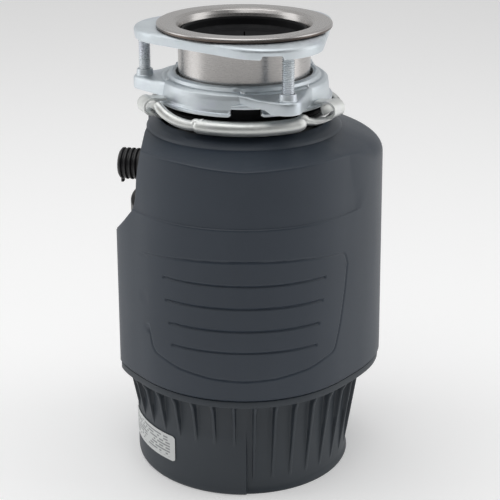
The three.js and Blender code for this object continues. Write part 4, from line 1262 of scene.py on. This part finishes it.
# ---------------------------------------------------------------- lower mounting ring
TURN_R = 60.0
TURN_Z = 252.0
LUG_AZIMUTHS = [55.5, 175.5, 295.5]
LUG_R = 67.8
LUG_Z = 259.4


def arc_points(path, steps=8):
    """Smooth points through [(azimuth, radius, z), ...]."""
    out = []
    count = len(path)
    for i in range(count - 1):
        p = [path[max(i - 1, 0)], path[i], path[i + 1], path[min(i + 2, count - 1)]]
        for k in range(steps + (1 if i == count - 2 else 0)):
            t = k / steps
            value = []
            for a, b, c, d in zip(*p):
                value.append(0.5 * (2 * b + (c - a) * t + (2 * a - 5 * b + 4 * c - d) * t * t
                                    + (3 * b - a - 3 * c + d) * t ** 3))
            out.append(polar(value[1], value[0], value[2]))
    return out


def rod(path, sizes):
    """A rod along [(azimuth, radius, z), ...] whose half-sizes follow [(share, width, height), ...]."""
    def section(t):
        width = along([(share, w) for share, w, h in sizes], t)
        height = along([(share, h) for share, w, h in sizes], t)
        return oval(width * MM, height * MM, 22)

    return sweep(arc_points(path), section)


# Each path is (degrees from the bead's middle, radius, height).
BEAD_PATH = [(-28.2, 59.6, 252.6), (-27, 60, 252.1), (-15, TURN_R, TURN_Z), (0, TURN_R, TURN_Z),
             (15, TURN_R, TURN_Z), (28, TURN_R, TURN_Z), (34, 60.2, 252.4), (38.5, 60.6, 253.4)]
BEAD_SIZES = [(0, 2.2, 2.6), (0.03, 4.0, 4.3), (0.07, 4.7, 4.7), (0.85, 4.7, 4.7), (0.93, 4.2, 4.3),
              (1.0, 2.4, 3.4)]
CURL_PATH = [(-27, 60.2, 252.3), (-29.5, 60.4, 253.8), (-32, 60.8, 252.2), (-38, 61.4, 252.3),
             (-45, 62.8, 253.8), (-51, 64.4, 256.6), (-55, 65.6, 259.8), (-57.6, 66.2, 262.4)]
CURL_SIZES = [(0, 3.2, 4.4), (0.07, 3.0, 5.2), (0.12, 2.5, 3.0), (0.18, 3.1, 3.4), (0.6, 3.2, 3.3),
              (0.86, 3.2, 3.2), (0.95, 2.9, 2.8), (1.0, 1.4, 1.4)]
FLARE_PATH = [(34, 60.2, 252.4), (37.5, 60.8, 254.4), (41, 62.0, 253.6), (45, 63.8, 252.8), (49, 66.0, 253.2),
              (53, 67.8, 254.2)]
FLARE_SIZES = [(0, 3.0, 3.8), (0.17, 3.0, 4.4), (0.36, 3.0, 2.6), (0.7, 3.0, 1.7), (1.0, 2.6, 0.9)]


def ring_bead(turn):
    """The thick bead between two lugs, the thin end that curls up at its left and the flare at its right."""
    return [rod([(turn + azimuth, radius, z) for azimuth, radius, z in path], sizes)
            for path, sizes in ((BEAD_PATH, BEAD_SIZES), (CURL_PATH, CURL_SIZES), (FLARE_PATH, FLARE_SIZES))]


def rolled_lug(azimuth):
    """The strip's end rolled into an open barrel that lies along the ring's tangent, with its foot."""
    half, outer, steps = 6.1, 5.0, 44
    path = [(57.5, 250.9), (61.0, 251.3), (64.0, 252.8), (65.6, 253.9)]
    for k in range(steps + 1):
        t = k / steps
        a = math.radians(lerp(-100.0, 225.0, t))
        r = outer - 0.9 * smooth(t, 0.75, 1.0)
        path.append((LUG_R + r * math.cos(a), LUG_Z + r * math.sin(a)))
    rows = []
    for r, z in path:
        reach = lerp(3.6, half, smooth(r, 58, 64))
        rows.append([flat(x * reach, -r, z) for x in (-1, -0.94, -0.5, 0, 0.5, 0.94, 1)])
    return turned_to(grid(rows), azimuth)


def hook(azimuth):
    """The tongue from the barrel to just above the lip of the upper ring."""
    path = [(56.7, 263.0), (58.5, 263.1), (61.5, 263.3), (64.2, 263.7), (66.2, 264.3)]
    rows = [[flat(x, -r, z) for x in (-4.5, -4.2, -2, 0, 2, 4.2, 4.5)] for r, z in path]
    return turned_to(grid(rows), azimuth)


def lower_mounting_ring():
    """A flat web with the three beads on it, the rolled lugs and their hooks."""
    web = rounded([(51.4, 249.9, 0.5), (57.6, 249.9, 0.4), (57.6, 251.9, 0.6), (51.4, 251.9, 0.8)], steps=4)
    parts = [lathe_data(web, 144)]
    for k in range(3):
        parts += ring_bead(120 * k)
    place(merged("turning_ring_bead", parts, sharp=50), "turn_ring", "pale_zinc", "lower_mounting_ring")
    lugs = mesh_object("turning_ring_lugs", *joined([rolled_lug(a) for a in LUG_AZIMUTHS]), closed=False)
    sheet(lugs, 1.4, 0.5, offset=0.0, segments=3)
    hooks = mesh_object("turning_ring_hooks", *joined([hook(a) for a in LUG_AZIMUTHS]), closed=False)
    sheet(hooks, 1.6, 0.4, offset=0.0)
    for obj in (lugs, hooks):
        place(obj, "turn_ring", "pale_zinc", "lower_mounting_ring")


lower_mounting_ring()

# ---------------------------------------------------------------- grind chamber and inlet
INLET_AZIMUTH = -102.0
INLET_Z = 206.2


def container_body():
    """The grind chamber: a flange at its foot, a straight wall and a neck at its top."""
    corners = [(66, 178.6, 0.3), (76.8, 178.6, 0.8), (76.8, 188.4, 0.8), (68.8, 188.5, 1.5), (68.6, 200, 2),
               (65, 203, 2), (64.4, 218, 5), (58, 230, 5), (49, 238.4, 4), (46.3, 242, 2), (46.3, 257.8, 0.6),
               (43.3, 257.8, 0.4), (43.2, 241, 2), (54, 228, 4), (60.6, 217, 4), (61.6, 202.4, 0.5),
               (61.6, 198.4, 0.3), (66, 198.4, 0.3)]
    return turned_piece("container_fine", corners, 144, "housing", "black_plastic", "container_body", steps=5)


def outward_lathe(profile, azimuth, z, columns=64):
    """A turned surface about a line that points outwards; profile holds (radius, distance from the axis)."""
    a = math.radians(azimuth)
    out = Vector((math.sin(a), -math.cos(a), 0))
    side = Vector((math.cos(a), math.sin(a), 0))
    centre = Vector((AXIS_X, AXIS_Y, z * MM))
    rows = []
    for r, d in profile:
        row = []
        for k in range(columns):
            t = 2 * math.pi * k / columns
            row.append(centre + out * (d * MM) + side * (r * MM * math.cos(t)) + UP * (r * MM * math.sin(t)))
        rows.append(row)
    return grid(rows, wrap_rows=True, wrap_columns=True)


def dishwasher_inlet():
    """The hose nipple: a spigot through the chamber's wall, a flange, four ribs and a small tab below."""
    corners = [(6.6, 63, 0.2), (7.8, 63, 0.2), (7.8, 69.4, 0.3), (12.3, 69.5, 0.5), (12.3, 71.4, 0.6),
               (9.8, 71.7, 0.5)]
    for start in (73.0, 76.4, 79.8, 83.2):
        corners += [(9.7, start, 0.4), (10.9, start + 0.8, 0.4), (10.8, start + 2.0, 0.4),
                    (9.7, start + 2.7, 0.4)]
    corners += [(9.3, 86.45, 0.4), (6.6, 86.45, 0.4)]
    body = outward_lathe(rounded(corners, steps=4), INLET_AZIMUTH, INLET_Z)
    foot = [(-2.2, -86.3, 0.8), (2.2, -86.3, 0.8), (2.2, -84.5, 0.6), (-2.2, -84.5, 0.6)]
    tab = extruded(rounded(foot, steps=3), INLET_Z - 13.0, INLET_Z - 9.0)
    obj = merged("inlet_nipple", [body, turned_to(tab, INLET_AZIMUTH)], sharp=45)
    return place(obj, "housing", "black_plastic", "dishwasher_inlet")


container_body()
dishwasher_inlet()

# ---------------------------------------------------------------- camera, floor and light
CAMERA_BACK = 863.4
CAMERA_HEIGHT = 482.0
CAMERA_PITCH = 21.10
LENS = 96.69
FRAME_SHIFT = 0.0114

camera_data = bpy.data.cameras.new("camera")
camera_data.lens = LENS
camera_data.sensor_width = 36.0
camera_data.shift_x = FRAME_SHIFT
camera_data.clip_end = 20.0
camera = bpy.data.objects.new("camera", camera_data)
camera.location = flat(0, -CAMERA_BACK, CAMERA_HEIGHT)
camera.rotation_euler = (math.radians(90 - CAMERA_PITCH), 0, 0)
bpy.context.scene.collection.objects.link(camera)
bpy.context.scene.camera = camera


def area_light(name, place_mm, size, power):
    """A soft rectangular light that looks at the object's middle."""
    data = bpy.data.lights.new(name, "AREA")
    data.shape = "RECTANGLE"
    data.size, data.size_y = size
    data.energy = power
    lamp = bpy.data.objects.new(name, data)
    lamp.location = flat(*place_mm)
    lamp.rotation_euler = (flat(0, 0, 160) - lamp.location).to_track_quat("-Z", "Y").to_euler()
    bpy.context.scene.collection.objects.link(lamp)


area_light("key_top", (-150, -250, 1600), (1.5, 1.5), 9.5)
area_light("side_left", (-1300, 100, 600), (0.8, 1.4), 4.2)
area_light("side_right", (1300, 0, 600), (0.8, 1.4), 4.2)

world = bpy.data.worlds.new("studio")
world.use_nodes = True
world_nodes = world.node_tree.nodes
world_links = world.node_tree.links
# A white studio that is dimmer on the camera's side of the object, at -Y.
direction = world_nodes.new("ShaderNodeTexCoord").outputs["Generated"]
split = world_nodes.new("ShaderNodeSeparateXYZ")
world_links.new(direction, split.inputs[0])
towards = world_nodes.new("ShaderNodeMapRange")
towards.interpolation_type = "SMOOTHSTEP"
world_links.new(split.outputs[1], towards.inputs["Value"])
for socket, value in zip(("From Min", "From Max", "To Min", "To Max"), (-0.95, 0.30, 0.09, 0.58)):
    towards.inputs[socket].default_value = value
world_links.new(towards.outputs["Result"], world_nodes["Background"].inputs["Strength"])
world_nodes["Background"].inputs["Color"].default_value = (1, 1, 1, 1)
bpy.context.scene.world = world

floor_rows = [[Vector((x, y, 0)) for x in (-3, 3)] for y in (-3, 3)]
floor = mesh_object("floor", *grid(floor_rows))
floor_look = Nodes("pale_floor")
floor_look.set(Base_Color=(0.86, 0.86, 0.86, 1), Roughness=0.8, Emission_Color=(1, 1, 1, 1),
               Emission_Strength=0.22)
floor.data.materials.append(floor_look.material)

bpy.context.scene.view_settings.view_transform = "Standard"
